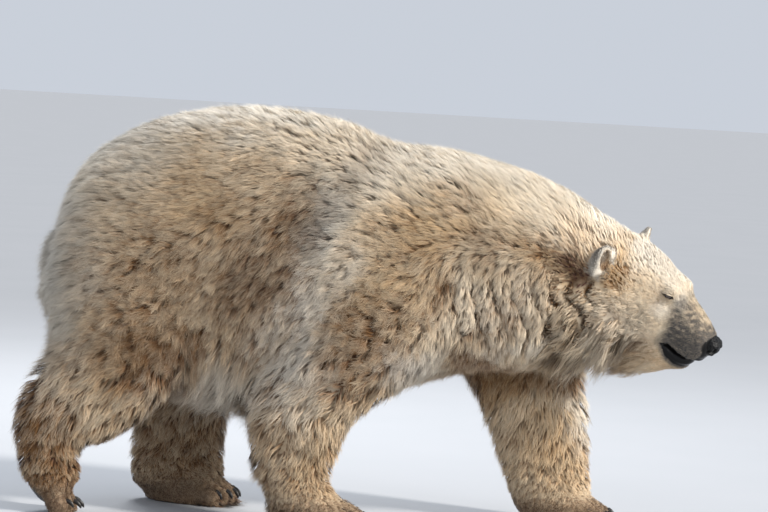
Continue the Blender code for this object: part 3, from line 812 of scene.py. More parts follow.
def hair_colour(wire, depth, tuft):
    """Colour of hair by its marks; depth is 1 at the root and 0 at the tip, tuft a random number."""
    stain_and_shade, gold, pale = wire.mark("stain_and_shade"), wire.mark("gold"), wire.mark("pale")
    colour = (gold * (tuft * 0.5 + 0.65)).clipped().blend(CREAM, GOLD)
    colour = (pale * 0.90).blend(colour, PALE)
    warm = (gold * 0.6 + stain_and_shade * 0.7 + (pale * -0.5 + 0.3)).clipped()
    # Towards the root the hair is painted darker, greyer where it is pale and browner where it is warm:
    # painted shade in the depth of the coat, which the hide also takes.
    shade = (depth * 1.10 + tuft * 0.40 - 0.22).clipped() * 0.62
    colour = shade.blend(colour, warm.blend(tint(162, 144, 118), tint(150, 102, 50)))
    # Stained hair and brown painted shade turn brown here, darkest at the root.
    soak = (stain_and_shade * (depth * 1.45 + 0.42) * (tuft * 0.90 + 0.56)).clipped()
    colour = soak.blend(colour, BROWN)
    colour = (soak * depth * 1.10).clipped().blend(colour, ROOT_BROWN)
    # Dark brown behind the ears, and dark painted shade in the ear cups and between the toes.
    dark = wire.mark("dark")
    colour = (dark * (depth * 1.20 + 0.40) * (tuft * 1.0 + 0.50)).clipped().blend(colour, DARK_BROWN_AND_SHADE)
    # Grey where skin shows through, and grey painted shade.
    slate_and_shade = wire.mark("slate_and_shade")
    return (slate_and_shade * (tuft * 0.90 + 0.52)).clipped().blend(colour, SLATE_AND_SHADE)


skin_places, skin_normals = points_of(skin.data), normals_of(skin.data)
for name, values in marks(skin_places, skin_normals).items():
    set_mark(skin.data, name, values)
hide, wire, shader = finish("hide", Specular_IOR_Level=0.22)
mottle = wire.cloud(55.0, 3.0)
colour = hair_colour(wire, HIDE_DEPTH, mottle)
bare = wire.mark("bare")
# The hide turns grey under the same mark: grey skin, and painted shade.
slate_and_shade = wire.mark("slate_and_shade")
colour = (slate_and_shade * 0.75).blend(colour, mottle.blend(tint(78, 74, 72), tint(126, 116, 104)))
colour = bare.blend(colour, wire.cloud(260.0, 3.0).blend(tint(7, 6, 6), tint(20, 18, 18)))
feed(colour, shader, "Base Color")
feed((bare * -0.52 + 0.84).clipped(), shader, "Roughness")
emboss(wire.cloud(420.0, 4.0), shader, 0.35, 0.0012)
skin.data.materials.clear()
skin.data.materials.append(hide)
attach(skin, "root")
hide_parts(*[name for name in FLESH if not name.startswith(("eye", "nose"))])


# ---- The coat -----------------------------------------------------------------------------------
# Guard hair in pointed locks, rooted in the skin and combed the way it grows. It is long and straight
# on the belly and rump, curled on the haunch and the shoulder, short on the ears and feet and
# shortest on the muzzle. It is made in parts that meet without a gap.
LIE = [   # x, z and the fall of the hair seen from the side: 0 lies back, 90 hangs down
    (-0.73, 0.97, -6), (-0.63, 1.07, -8), (-0.45, 1.13, -6), (-0.23, 1.13, -4), (0.00, 1.07, -4),
    (-0.88, 0.80, 20), (-0.92, 0.62, 45), (-0.75, 0.82, 4), (-0.62, 0.88, 4), (-0.47, 0.94, 10),
    (-0.75, 0.60, 22), (-0.60, 0.61, 34), (-0.45, 0.62, 48), (-0.65, 0.41, 40), (-0.52, 0.38, 55),
    (-0.35, 0.95, 25), (-0.21, 0.90, 32), (-0.34, 0.76, 45), (-0.20, 0.69, 52), (-0.31, 0.54, 68),
    (-0.41, 0.48, 62), (-0.19, 0.49, 66), (-0.32, 0.37, 60), (-0.07, 0.91, 10), (-0.12, 0.77, 20),
    (-0.17, 0.61, 42), (-0.21, 0.45, 62), (0.06, 1.01, -26), (0.21, 1.00, -30), (0.12, 0.87, -18),
    (0.02, 0.78, 0), (-0.06, 0.67, 6), (0.09, 0.65, 15), (-0.03, 0.54, 16), (0.14, 0.55, 32),
    (-0.10, 0.40, 36), (0.04, 0.38, 46), (0.17, 0.52, 82), (0.20, 0.68, 72), (0.39, 1.01, -30),
    (0.54, 0.94, -30), (0.64, 0.90, -32), (0.29, 0.85, -22), (0.45, 0.83, -12), (0.30, 0.70, 84),
    (0.46, 0.69, 88), (0.60, 0.67, 76), (0.36, 0.59, 100), (0.52, 0.57, 82), (0.64, 0.55, 66),
    (0.68, 0.66, 48), (0.69, 0.53, 52), (-0.12, 0.28, 82), (-0.21, 0.16, 74), (-0.05, 0.23, 88),
    (0.47, 0.37, 78), (0.60, 0.25, 84), (0.52, 0.24, 78), (-0.84, 0.36, 55), (-0.90, 0.26, 72),
    (-0.83, 0.21, 80), (-0.87, 0.14, 96), (-0.54, 0.22, 84), (-0.44, 0.16, 84),
]
FACE_LIE = [   # forward and up of the crown, and the turn of the hair from straight back, down
    (-0.03, 0.06, 0), (0.08, 0.07, 0), (0.17, 0.06, 2), (0.25, 0.03, 4), (0.33, 0.01, 4),
    (0.06, -0.02, 8), (0.12, -0.06, 28), (0.16, -0.11, 46), (0.08, -0.14, 50), (0.00, -0.14, 48),
    (0.20, -0.06, 40), (0.24, -0.05, 25), (0.31, -0.04, 14), (0.31, -0.08, 18), (0.22, -0.13, 22),
    (-0.06, 0.01, -25), (-0.07, -0.05, 5), (-0.05, -0.10, 62),
    (0.30, -0.14, 8), (0.12, -0.20, 36), (0.02, -0.22, 42), (-0.08, -0.10, 40), (-0.08, -0.20, 60),
]
BLADES = 6                   # forked blades in one lock
FORK = 0.45                  # where a blade splits in three, along its length
STATIONS = (0.0, FORK, 1.0)
ROOT, TIP = 0, 2             # the first and the last of them
HALF_WIDTHS = (0.36, 0.33)   # of a blade at its root and at its fork, in widths of its lock
WIDTHS = (0.0007, 0.0046)    # the narrowest and the widest lock
SHORTEST = 0.0016            # least depth of the coat
OFF_FLOOR = 0.0012           # no hair hangs lower
BARE_FROM = 0.30             # no hair grows where the skin is barer
PIECES = {   # part of the coat: locks in it
    "coat_head": 6600, "coat_neck": 6200, "coat_shoulders": 6400, "coat_ribs": 5800, "coat_loins": 5600,
    "coat_rump": 6200, "coat_fore_legs": 6600, "coat_hind_legs": 6600,
}
GATHERED, ON_HEAD = 4, 11    # locks that draw together in one tuft, on the body and on the head
PATCH_RING = 0.0034          # the blades of a lock lie on the map in a ring of this radius
PATCH_ACROSS, PATCH_ALONG = 0.0010, 0.0015   # half the size of a blade's patch there
THINNING = 1.0


def blend_lie(x, z, table, reach_of_one):
    """Smooth blend of the turns in a table, as a direction back and down."""
    back, down, total = np.zeros(len(x)), np.zeros(len(x)), np.zeros(len(x))
    for place_x, place_z, turn in table:
        weight = np.exp(-((x - place_x) ** 2 + (z - place_z) ** 2) / reach_of_one ** 2) + 1e-12
        back += weight * math.cos(math.radians(turn))
        down += weight * math.sin(math.radians(turn))
        total += weight
    return back / total, down / total


def lie_of_coat(points):
    """Which way the hair grows at each place, before it is laid along the skin."""
    back, down = blend_lie(points[:, 0], points[:, 2], LIE, 0.085)
    body = np.stack([-back, np.zeros(len(back)), -down - 0.05], axis=1)
    forward, left, up = in_head(points).T
    back, down = blend_lie(forward, up, FACE_LIE, 0.050)
    sideways = np.sign(left) * 0.25 * step(up, 0.040, -0.040) * step(np.abs(left), 0.010, 0.060)
    face = np.stack([-back, sideways, -down], axis=1) @ HEAD_AXES.T
    part = on_head(points)[:, None]
    lie = unit(body) * (1.0 - part) + unit(face) * part
    for middle, length in FEET.values():
        ahead = (points - np.array(middle)) @ np.array([1.0, 0.0, 0.0])
        toe = step(reach(points, middle), length * 1.30, length * 0.95) * step(ahead, -0.03, 0.06)
        toe *= step(points[:, 2], 0.140, 0.090)
        lie = lie * (1.0 - toe[:, None]) + np.array([0.90, 0.0, -0.45]) * toe[:, None]
    for side in EARS:
        place, turn = in_ear(points, side)
        ear = step(np.linalg.norm(place, axis=1), 1.60, 1.25)[:, None]
        rise = turn[:, 2] * 0.9 + (place * np.array([0.0, 0.8, 0.8])) @ turn.T
        lie = lie * (1.0 - ear) + unit(rise) * ear
    return unit(lie)


def curl_of(points):
    """How much the locks curl: most on the haunch, the shoulder and the cheek."""
    x, _y, z = points.T
    haunch = bump(x, -0.60, 0.20) * bump(z, 0.58, 0.18)
    shoulder = bump(x, 0.03, 0.18) * bump(z, 0.58, 0.18)
    forward, _left, up = in_head(points).T
    cheek = on_head(points) * bump(forward, 0.13, 0.12) * bump(up, -0.11, 0.10)
    return np.clip(haunch + shoulder + 0.75 * cheek + 0.18, 0.0, 1.0)


def sleek(points):
    """1 where the coat lies smooth: the nape, the crown and the forehead."""
    x, _y, z = points.T
    forward, _left, up = in_head(points).T
    nape = step(z + 0.42 * (x - 0.27), 0.880, 0.980) * step(x, 0.150, 0.300)
    brow = on_head(points) * np.maximum(step(up, -0.050, 0.000), step(forward, 0.190, 0.240))
    return nape * (1.0 - on_head(points)) + brow


def loft(points, normals):
    """How far the hair stands off where it is loose: rump, belly, throat and the backs of the legs."""
    x, _y, z = points.T
    forward, _left, up = in_head(points).T
    rump = 0.024 * step(x, -0.700, -0.860) * bump(z, 0.640, 0.190)
    hanging = step(normals[:, 2], -0.05, -0.75)
    belly = 0.070 * hanging * step(x, -0.560, -0.460) * step(x, -0.050, -0.160) * step(z, 0.560, 0.480)
    throat = 0.078 * step(x, 0.500, 0.580) * step(normals[:, 2], 0.10, -0.60) * step(up, -0.100, -0.160)
    throat *= step(forward, 0.270, 0.190) * step(forward, -0.330, -0.200)
    behind = 0.011 * step(normals[:, 0], -0.10, -0.70) * step(z, 0.120, 0.200) * step(z, 0.480, 0.400)
    arm = 0.006 * step(normals[:, 2], -0.05, -0.60) * step(x, -0.020, 0.060) * step(z, 0.240, 0.320)
    return rump + belly + throat + behind + arm * step(x, 0.540, 0.480)


def lock_length(points, depth, height):
    """Length of the locks: longer than the coat is deep, as they lie down."""
    long_hair = step(points[:, 2], 0.520, 0.380) * step(points[:, 2], 0.160, 0.260)
    ratio = 1.70 + 0.45 * long_hair + 0.9 * on_head(points) * step(depth, 0.012, 0.004)
    ratio = ratio * (1.0 - 0.36 * fold_zone(points))
    shortest = 0.0042 + 0.0030 * step(in_head(points)[:, 0], 0.240, 0.140)
    return np.clip(depth * ratio + (height - depth) * 0.6, shortest, 0.090)


def part_of_coat(points):
    """Which part of the coat each place belongs to."""
    x, y, z = points.T
    part = np.full(len(points), "coat_ribs", dtype=object)
    part[x > -0.080] = "coat_shoulders"
    part[x < -0.400] = "coat_loins"
    part[x < -0.640] = "coat_rump"
    part[(x > 0.270) & (z > 0.440)] = "coat_neck"
    part[(z < 0.440) & (x > -0.300)] = "coat_fore_legs"
    part[(z < 0.440) & (x <= -0.300)] = "coat_hind_legs"
    belly = (np.abs(y) < 0.150) & (z > 0.300) & (x < 0.250) & (x > -0.640)
    part[belly & (x > -0.300) & (z < 0.440) & (x < -0.080)] = "coat_ribs"
    part[on_head(points) > 0.35] = "coat_head"
    return part


def patches_of(mesh, chosen):
    """The chosen faces as a mesh of their own, unwrapped, with where its corners lie on the map."""
    work = bmesh.new()
    work.from_mesh(mesh)
    work.faces.ensure_lookup_table()
    spare = [face for face, keep in zip(work.faces, chosen) if not keep]
    bmesh.ops.delete(work, geom=spare, context="FACES")
    bmesh.ops.triangulate(work, faces=work.faces)
    part = mesh_from(work, "pattern")
    pattern = new_piece("pattern", part)
    for other in bpy.context.view_layer.objects:
        other.select_set(False)
    bpy.context.view_layer.objects.active = pattern
    pattern.select_set(True)
    bpy.ops.object.mode_set(mode="EDIT")
    bpy.ops.mesh.select_all(action="SELECT")
    bpy.ops.uv.smart_project(angle_limit=math.radians(70.0), island_margin=0.006)
    bpy.ops.object.mode_set(mode="OBJECT")
    spots = rows_of(part.uv_layers.active.data, "uv", 2).reshape(-1, 3, 2)
    corners = rows_of(part.loops, "vertex_index", 1, np.int32).reshape(-1, 3)
    places, normals = points_of(part), normals_of(part)
    bpy.data.objects.remove(pattern)
    bpy.data.meshes.remove(part)
    return places, normals, corners, spots


def rooted(pattern, count, rng):
    """Even random roots over a pattern, closer together where the coat is short."""
    places, normals, corners, spots = pattern
    a, b, c = (places[corners[:, index]] for index in range(3))
    area = np.linalg.norm(np.cross(b - a, c - a), axis=1) / 2
    middle = (a + b + c) / 3
    close = 1.0 / np.clip(coat_depth(middle) / 0.030, 0.22, 1.0) ** 1.25
    close *= 1.0 + 1.2 * on_head(middle) * step(in_head(middle)[:, 0], 0.05, 0.16)
    weight = np.cumsum(area * close)
    ticks = (np.arange(count) + rng.uniform(0.0, 1.0, count)) / count * weight[-1]
    face = np.minimum(np.searchsorted(weight, ticks), len(corners) - 1)
    u, v = rng.uniform(0.0, 1.0, (2, count))
    over = u + v > 1.0
    u[over], v[over] = 1.0 - u[over], 1.0 - v[over]
    mix = np.stack([1.0 - u - v, u, v], axis=1)
    root = np.einsum("ni,nij->nj", mix, places[corners[face]])
    normal = unit(np.einsum("ni,nij->nj", mix, normals[corners[face]]))
    spot = np.einsum("ni,nij->nj", mix, spots[face])
    spread = np.sqrt(weight[-1] / count / np.maximum(close[face], 1e-6))
    return root, normal, spot, spread


def along_skin(tree, root, lie, length, normal):
    """Stations of each lock as it is combed over the skin: places, normals and directions."""
    places, normals, ways = [root], [normal], [lie]
    for before, after in zip(STATIONS, STATIONS[1:]):
        ahead = places[-1] + ways[-1] * (length * (after - before))[:, None]
        place, out = np.empty_like(ahead), np.empty_like(ahead)
        for index, point in enumerate(ahead):
            place[index], out[index], _face, _far = tree.find_nearest(point)
        turn = unit(0.5 * normals[-1] + 0.5 * out)
        way = unit(ways[-1] - turn * np.sum(ways[-1] * turn, axis=1, keepdims=True))
        places.append(place)
        normals.append(turn)
        ways.append(way)
    return places, normals, ways


def leaders(root, gathered):
    """For each lock the one that its tuft draws together on."""
    chosen = np.arange(0, len(root), gathered)
    near = KDTree(len(chosen))
    for index, place in enumerate(root[chosen]):
        near.insert(place, index)
    near.balance()
    return chosen[[near.find(place)[1] for place in root]]


# A blade: two corners at the root, four where it forks and three points.
CORNERS, FACES = 9, ((1, 0, 2, 5), (3, 2, 6), (4, 3, 7), (5, 4, 8))
CORNER_STATION = np.array([0, 0, 1, 1, 1, 1, 2, 2, 2])
CORNER_SIDE = np.array([-1.0, 1.0, -1.5, -0.5, 0.5, 1.5, -1.0, 0.0, 1.0])


def lock_mesh(name, points, facings):
    """A mesh of blades from the corners of each."""
    blades = len(points)
    base = (np.arange(blades) * CORNERS)[:, None]
    loops = np.concatenate([base + np.array(face) for face in FACES], axis=1).reshape(-1)
    sizes = np.array([len(face) for face in FACES])
    first = np.concatenate([[0], np.cumsum(sizes)[:-1]])
    starts = (np.arange(blades)[:, None] * sizes.sum() + first).reshape(-1)
    mesh = bpy.data.meshes.new(name)
    mesh.vertices.add(blades * CORNERS)
    mesh.vertices.foreach_set("co", points.astype(np.float32).ravel())
    mesh.loops.add(len(loops))
    mesh.loops.foreach_set("vertex_index", loops.astype(np.int32))
    mesh.polygons.add(len(starts))
    mesh.polygons.foreach_set("loop_start", starts.astype(np.int32))
    mesh.polygons.foreach_set("loop_total", np.tile(sizes, blades).astype(np.int32))
    mesh.update(calc_edges=True)
    mesh.shade_smooth()
    mesh.normals_split_custom_set_from_vertices(facings.reshape(-1, 3).astype(np.float32))
    return mesh, loops


class Hair:
    """The locks of one part of the coat: where they are rooted and how each of them lies."""

    def __init__(self, name, pattern, tree, count, seed):
        self.name = name
        self.rng = np.random.default_rng(seed)
        root, normal, spot, spread = rooted(pattern, count, self.rng)
        keep = marks(root, normal)["bare"] < BARE_FROM
        self.root, self.normal, self.spot, self.spread = root[keep], normal[keep], spot[keep], spread[keep]
        self.count = len(self.root)
        depth = coat_depth(self.root) * (1.0 - 0.62 * neck_folds(self.root))
        self.depth = np.maximum(depth, SHORTEST)
        self.curl = curl_of(self.root) * (1.0 - 0.9 * fold_zone(self.root))
        self.smooth = sleek(self.root)
        gathered = ON_HEAD if name == "coat_head" else GATHERED
        self.lead = leaders(self.root, gathered)
        self.pull = self.root[self.lead] - self.root
        self.off = np.linalg.norm(self.pull, axis=1) / (self.spread * 0.5 * math.sqrt(gathered))
        self.comb(tree, seed)
        self.ruffle()

    def comb(self, tree, seed):
        """Lay each lock over the skin. It swings with its tuft, and a little by itself."""
        root, normal, count, rng = self.root, self.normal, self.count, self.rng
        middle = root[self.lead]
        lie = lie_of_coat(root)
        lie = unit(lie - normal * np.sum(lie * normal, axis=1, keepdims=True) + 1e-6)
        side = np.cross(normal, lie)
        swing = 0.16 * waver(middle, 0.050, seed + 1) + 0.10 * waver(middle, 0.160, 7)
        swing += self.curl * (0.45 * waver(middle, 0.030, seed + 2) + rng.normal(0.0, 0.36, count)[self.lead])
        swing = swing * (1.0 - 0.5 * self.smooth) + rng.normal(0.0, 0.10, count)
        lie = unit(lie * np.cos(swing)[:, None] + side * np.sin(swing)[:, None])
        ragged = rng.uniform(0.80, 1.04, count) - 0.10 * np.minimum(self.off, 1.4) * (1.0 - self.smooth)
        height = self.depth * (ragged + 0.5 * self.smooth * (0.92 - ragged))
        self.height = height + loft(root, normal) * rng.uniform(0.20, 1.05, count)
        self.length = lock_length(root, self.depth, self.height) * rng.uniform(0.80, 1.10, count)
        self.places, self.normals, self.ways = along_skin(tree, root, lie, self.length, normal)
        self.across = [np.cross(out, way) for out, way in zip(self.normals, self.ways)]

    def ruffle(self):
        """How wide each lock is, how far it draws together and how dark it is."""
        rng, count = self.rng, self.count
        narrow = 1.0 - 0.35 * step(self.depth, 0.012, 0.004)
        self.width = np.clip(self.spread * 0.32 * narrow, *WIDTHS)
        self.gather = rng.uniform(0.20, 0.60, count) * (1.0 - 0.5 * self.smooth)
        self.draw = (0.12 + 0.38 * self.curl) * (1.0 - 0.7 * self.smooth)
        self.tuft = 0.62 * rng.uniform(0.0, 1.0, count)[self.lead] + 0.38 * rng.uniform(0.0, 1.0, count)
        loose = (0.7 + self.curl) * (1.0 - 0.8 * self.smooth)
        self.tilt = rng.normal(0.0, 0.17, (count, 3)) * loose[:, None]

    def blade(self, index):
        """One blade of every lock: its corners, their facings, its shade and its patch on the map."""
        smooth, count, rng = self.smooth, self.count, self.rng
        angle = 2 * np.pi * index / BLADES + rng.uniform(0.0, 1.6, count)
        far = self.spread * 0.95 * np.sqrt(rng.uniform(0.05, 1.0, count))
        ahead, beside = np.cos(angle) * far, np.sin(angle) * far
        tall = rng.uniform(0.78 + 0.14 * smooth, 1.05 - 0.05 * smooth)
        roll = rng.normal(0.0, 0.40, count) * (1.0 - 0.6 * smooth)
        shade = 0.40 * self.tuft + 0.60 * rng.uniform(0.0, 1.0, count)
        corners, facings = np.empty((count, CORNERS, 3)), np.empty((count, CORNERS, 3))
        for corner in range(CORNERS):
            station, side = CORNER_STATION[corner], CORNER_SIDE[corner]
            part = STATIONS[station]
            out, way, aside = self.normals[station], self.ways[station], self.across[station]
            lean = 1.0 - self.gather * part
            forward, sideways = ahead * lean, beside * lean
            lift = self.height * tall * (1.0 - (1.0 - part) ** 1.9)
            if station == ROOT:
                lift = lift - 0.12 * self.depth
            if station == TIP:
                forward = forward - self.length * rng.uniform(0.0, 0.42, count)
                stray = rng.normal(0.0, 1.0, count) * (0.035 + 0.16 * self.curl)
                sideways = sideways + side * self.width * 0.55 + self.length * stray
                waving = rng.normal(0.02, 0.09 + 0.10 * self.curl, count) * (1.0 - 0.6 * smooth)
                lift = lift * (1.0 + waving)
            place = self.places[station] + out * lift[:, None] + way * forward[:, None]
            place += aside * sideways[:, None] + self.pull * (self.draw * part)[:, None]
            if station != TIP:
                flat = unit(aside * np.cos(roll)[:, None] + out * np.sin(roll)[:, None])
                place += flat * (side * self.width * HALF_WIDTHS[station])[:, None]
            from_side = (1.0 - 0.8 * smooth) * 0.40 * beside / self.spread + 0.12 * side
            from_tuft = 0.12 * (1.0 - smooth) / self.spread
            round_off = aside * from_side[:, None] - self.pull * from_tuft[:, None]
            corners[:, corner] = place
            facings[:, corner] = unit(out * 0.95 - way * (0.20 - 0.30 * part) + round_off + self.tilt)
        spots = np.empty((count, CORNERS, 2))
        centre = self.spot + PATCH_RING * np.stack([np.cos(angle), np.sin(angle)], axis=1)
        spots[..., 0] = centre[:, :1] + CORNER_SIDE * PATCH_ACROSS
        spots[..., 1] = centre[:, 1:] + (CORNER_STATION - 1) * PATCH_ALONG
        return corners, facings, shade, spots

    def piece(self):
        """All the blades as one piece, with their marks and their patches on the map."""
        blades = [self.blade(index) for index in range(BLADES)]
        points, facings, shade, spots = (np.stack(parts, axis=1) for parts in zip(*blades))
        points[..., 2] = np.maximum(points[..., 2], OFF_FLOOR)
        mesh, loops = lock_mesh(self.name, points.reshape(-1, CORNERS, 3), facings)
        # The root_depth mark paints each blade darker towards its root, less where the coat lies sleek and
        # more on locks far from the middle of their tuft: painted shade between the locks.
        down = np.repeat((1.0 - 0.72 * self.smooth)[:, None], BLADES, axis=0)
        down = down * (1.0 - np.array(STATIONS)[CORNER_STATION])
        outer = 0.10 * np.clip(self.off - 0.4, 0.0, 1.0) * (1.0 - self.smooth)
        down += np.repeat(outer, BLADES)[:, None]
        set_mark(mesh, "root_depth", down.ravel())
        set_mark(mesh, "tuft", np.repeat(shade.ravel(), CORNERS))
        for mark, values in marks(self.root, self.normal).items():
            set_mark(mesh, mark, np.repeat(values, BLADES * CORNERS))
        layer = mesh.uv_layers.new(name="OFBake")
        layer.data.foreach_set("uv", spots.reshape(-1, 2)[loops].astype(np.float32).ravel())
        return new_piece(self.name, mesh)


guard_hair, wire, shader = finish("guard_hair", Roughness=0.62, Specular_IOR_Level=0.30, Sheen_Weight=0.12)
tuft = wire.mark("tuft")
colour = hair_colour(wire, wire.mark("root_depth"), tuft)
light = colour.node("ShaderNodeHueSaturation", {}, {"Value": tuft * 0.64 + 0.70, "Color": colour})
feed(light, shader, "Base Color")

belongs = part_of_coat(rows_of(skin.data.polygons, "center", 3).astype(np.float64))
skin_tree = BVHTree.FromObject(skin, bpy.context.evaluated_depsgraph_get())
for seed, (name, count) in enumerate(PIECES.items()):
    pattern = patches_of(skin.data, belongs == name)
    coat = Hair(name, pattern, skin_tree, int(count * THINNING), 100 + 10 * seed).piece()
    coat.data.materials.append(guard_hair)
    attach(coat, "root")


# ---- The eyes -----------------------------------------------------------------------------------
# Blown glass eyes, dark brown with a round black pupil, set behind the lids so that only a wet
# dark sliver shows.
eye_glass, wire, shader = finish("eye_glass", Roughness=0.06, Coat_Weight=1.0, Coat_Roughness=0.02)
iris = wire.mark("iris")
feed(iris.blend(tint(10, 7, 6), tint(58, 32, 16)), shader, "Base Color")
for side in EYES:
    middle, _along, _up, out = lid_frame(side)
    ball = bmesh.new()
    bmesh.ops.create_icosphere(ball, subdivisions=4, radius=EYE_RADIUS)
    mesh = mesh_from(ball, "eye_" + side)
    places = points_of(mesh)
    facing = unit(places) @ out
    places *= (1.0 + 0.06 * step(facing, 0.80, 0.97))[:, None]
    put_points(mesh, places + middle)
    set_mark(mesh, "iris", step(facing, 0.86, 0.90) * step(facing, 0.985, 0.975))
    mesh.shade_smooth()
    mesh.materials.append(eye_glass)
    piece = new_piece("glass_eye_" + side, mesh)
    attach(piece, "root")
    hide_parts("eye_" + side)


# ---- The nose -----------------------------------------------------------------------------------
# The bare black leather of the nose, pebbled and damp, with two comma-shaped nostrils and a groove
# down its middle to the lip.
ball = bmesh.new()
bmesh.ops.create_icosphere(ball, subdivisions=6, radius=1.0)
mesh = mesh_from(ball, "nose_leather")
ways = unit(points_of(mesh))
forward, left, up = ways.T
square = np.abs(ways) ** 0.72 * np.sign(ways)
places = square * NOSE_HALF
places[:, 1] *= 1.0 - 0.20 * step(up, -0.2, -0.9)
side = np.abs(left)
nostril = bump(side, 0.50, 0.17) * bump(up, -0.02 + 0.35 * (side - 0.5), 0.20) * step(forward, 0.25, 0.55)
slot = bump(up, -0.10 - 0.10 * side, 0.085) * step(side, 0.50, 0.70) * step(side, 1.0, 0.92)
slot *= step(forward, 0.0, 0.3)
groove = bump(left, 0.0, 0.060) * step(forward, 0.2, 0.5) * step(up, 0.30, 0.0)
sink = 0.0150 * np.clip(nostril, 0.0, 1.0) + 0.0085 * slot + 0.0034 * groove
rim = 0.0022 * bump(side, 0.50, 0.34) * bump(up, 0.02, 0.40) * step(forward, 0.2, 0.5)
places += ways * (rim - sink + 0.0011 * waver(places, 0.011, 31))[:, None]
put_points(mesh, places @ HEAD_AXES.T + np.array(centre_of("nose")))
set_mark(mesh, "inside", np.clip(nostril + slot, 0.0, 1.0))
mesh.shade_smooth()
leather, wire, shader = finish("nose_leather", Coat_Weight=0.08, Coat_Roughness=0.20, Specular_IOR_Level=0.22)
cells = {"Vector": wire.object_place(), "Scale": 420.0}
pebbles = wire.node("ShaderNodeTexVoronoi", {"feature": "SMOOTH_F1"}, cells)
patchy = wire.cloud(90.0, 3.0)
black = patchy.blend(tint(6, 6, 7), tint(16, 15, 15))
# The insides of the nostrils are painted darkest: painted shade in their pits.
feed(wire.mark("inside").blend(black, tint(6, 5, 5)), shader, "Base Color")
feed(patchy * 0.25 + 0.28, shader, "Roughness")
emboss(pebbles, shader, 0.9, 0.0018)
mesh.materials.append(leather)
nose = new_piece("nose_pad", mesh)
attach(nose, "root")
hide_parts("nose")


# ---- The claws ----------------------------------------------------------------------------------
# Short stout claws of black horn, five to a foot, faintly grooved, worn pale at the very points and
# half sunk in the hair of the toes.
CLAW_ROWS, CLAW_SIDES = 12, 14
CLAW_LENGTH, CLAW_THICKNESS = 0.031, 0.0062


def claw_shape(work, layer, base, ahead, droop):
    """A curved horn that leaves its base ahead and bends down by the droop in degrees."""
    beside = unit(np.cross((0.0, 0.0, 1.0), ahead))
    place, ring_before = np.array(base), None
    for row in range(CLAW_ROWS + 1):
        part = row / CLAW_ROWS
        angle = math.radians(droop * part)
        above = np.cross(ahead, beside)
        way = ahead * math.cos(angle) - above * math.sin(angle)
        top = np.cross(way, beside)
        radius = CLAW_THICKNESS * (1.0 - part ** 2.4) ** 0.62 + 0.0002
        ring = []
        for index in range(CLAW_SIDES):
            turn = 2 * math.pi * index / CLAW_SIDES
            across, high = math.cos(turn) * radius * 0.72, math.sin(turn) * radius
            corner = work.verts.new(place + beside * across + top * high)
            corner[layer] = part
            ring.append(corner)
        if ring_before:
            for index in range(CLAW_SIDES):
                after = (index + 1) % CLAW_SIDES
                work.faces.new((ring_before[index], ring_before[after], ring[after], ring[index]))
        ring_before = ring
        place = place + way * (CLAW_LENGTH / CLAW_ROWS)
    work.faces.new(ring_before)


horn, wire, shader = finish("horn", Specular_IOR_Level=0.5)
wear = wire.mark("wear")
streaks = wire.cloud(300.0, 3.0)
feed((wear * 0.6 + streaks * 0.2).clipped().blend(tint(14, 12, 12), tint(70, 62, 55)), shader, "Base Color")
feed(streaks * 0.3 + 0.22, shader, "Roughness")
emboss(streaks, shader, 0.25, 0.0008)
for foot, (middle, _length) in FEET.items():
    names = [f"claw_{foot}_{index}" for index in range(1, 6)]
    work = bmesh.new()
    layer = work.verts.layers.float.new("along")
    for name in names:
        carved = points_of(frame["nodes"][name].data)
        tip = np.array(centre_of(name))
        _sizes, axes = np.linalg.eigh(np.cov((carved - tip).T))
        ahead = axes[:, 2] * np.sign(axes[:, 2] @ (tip - np.array(middle)))
        claw_shape(work, layer, tip - ahead * CLAW_LENGTH * 0.74, ahead, 62.0)
    bmesh.ops.recalc_face_normals(work, faces=work.faces)
    mesh = mesh_from(work, "claws_" + foot)
    along = rows_of(mesh.attributes["along"].data, "value", 1).ravel()
    set_mark(mesh, "wear", step(along, 0.80, 1.0))
    mesh.shade_smooth()
    mesh.materials.append(horn)
    claws = new_piece("claws_" + foot, mesh)
    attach(claws, "root")
    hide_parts(*names)


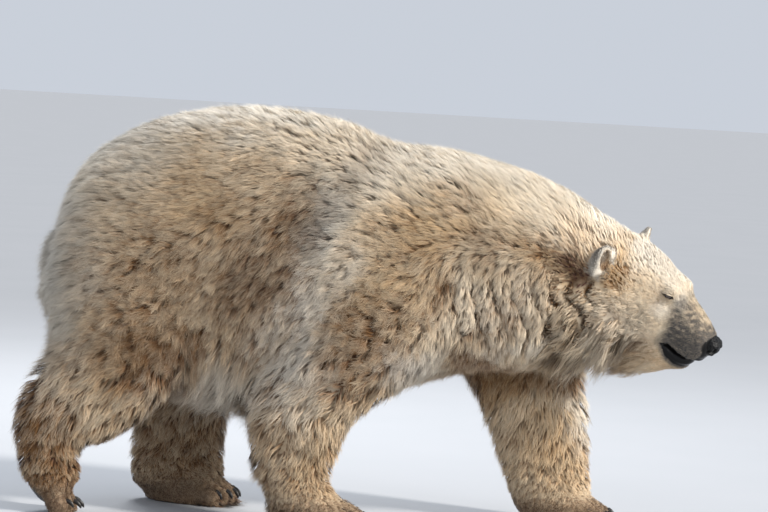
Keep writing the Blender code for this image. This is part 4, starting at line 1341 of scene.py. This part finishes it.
# ---- The studio ---------------------------------------------------------------------------------
# A plain pale floor, soft sunlight from a high window ahead, a lamp low by the face, a wide fill
# from the left and a lamp behind for the rim of the coat. The visitor stands nine metres off.
mesh = bpy.data.meshes.new("floor")
mesh.from_pydata([(-90, -40, 0), (90, -40, 0), (90, 160, 0), (-90, 160, 0)], [], [(0, 1, 2, 3)])
floor = new_piece("floor", mesh)
paper, wire, shader = finish("paper", Roughness=0.9)
feed(wire.cloud(1.5, 2.0).blend(tint(172, 175, 179), tint(178, 180, 184)), shader, "Base Color")
floor.data.materials.append(paper)


def lamp(name, kind, place, power, colour, size):
    """A soft lamp that shines on the middle of the bear; a sun's size is its angle in degrees."""
    light = bpy.data.lights.new(name, kind)
    light.energy = power
    light.color = colour
    if kind == "SUN":
        light.angle = math.radians(size)
    else:
        light.shape = "DISK"
        light.size = size
    stand = new_piece(name, light)
    stand.location = place
    stand.rotation_euler = (Vector((0.0, 0.0, 0.6)) - Vector(place)).to_track_quat("-Z", "Y").to_euler()


lamp("key", "SUN", (3.9, -2.1, 3.2), 3.9, (1.0, 0.955, 0.89), 7.0)
lamp("fill", "AREA", (-3.5, -5.5, 1.8), 45.0, (0.90, 0.95, 1.0), 3.5)
lamp("side", "AREA", (2.9, -2.9, 1.1), 34.0, (1.0, 0.96, 0.90), 1.6)
lamp("rim", "AREA", (-1.2, 3.4, 4.4), 200.0, (0.96, 0.98, 1.0), 2.0)
world = bpy.data.worlds.new("studio")
world.use_nodes = True
world.node_tree.nodes["Background"].inputs["Color"].default_value = (0.84, 0.90, 1.0, 1.0)
world.node_tree.nodes["Background"].inputs["Strength"].default_value = 0.70
bpy.context.scene.world = world
bpy.context.scene.view_settings.view_transform = "Standard"

AIM = Vector((0.0274, 0.003, 0.75))
DISTANCE, ELEVATION, TILT = 9.0, math.radians(3.0), math.radians(3.3)
back = Vector((0.0, -math.cos(ELEVATION), math.sin(ELEVATION)))
level = Vector((1.0, 0.0, 0.0))
upright = back.cross(level)
right = level * math.cos(TILT) + upright * math.sin(TILT)
up = upright * math.cos(TILT) - level * math.sin(TILT)
lens = bpy.data.cameras.new("visitor")
lens.lens, lens.sensor_width, lens.sensor_fit = 150.0, 36.0, "HORIZONTAL"
camera = new_piece("visitor", lens)
facing = Matrix((right, up, back)).transposed().to_4x4()
camera.matrix_world = Matrix.Translation(AIM + back * DISTANCE) @ facing
bpy.context.scene.camera = camera
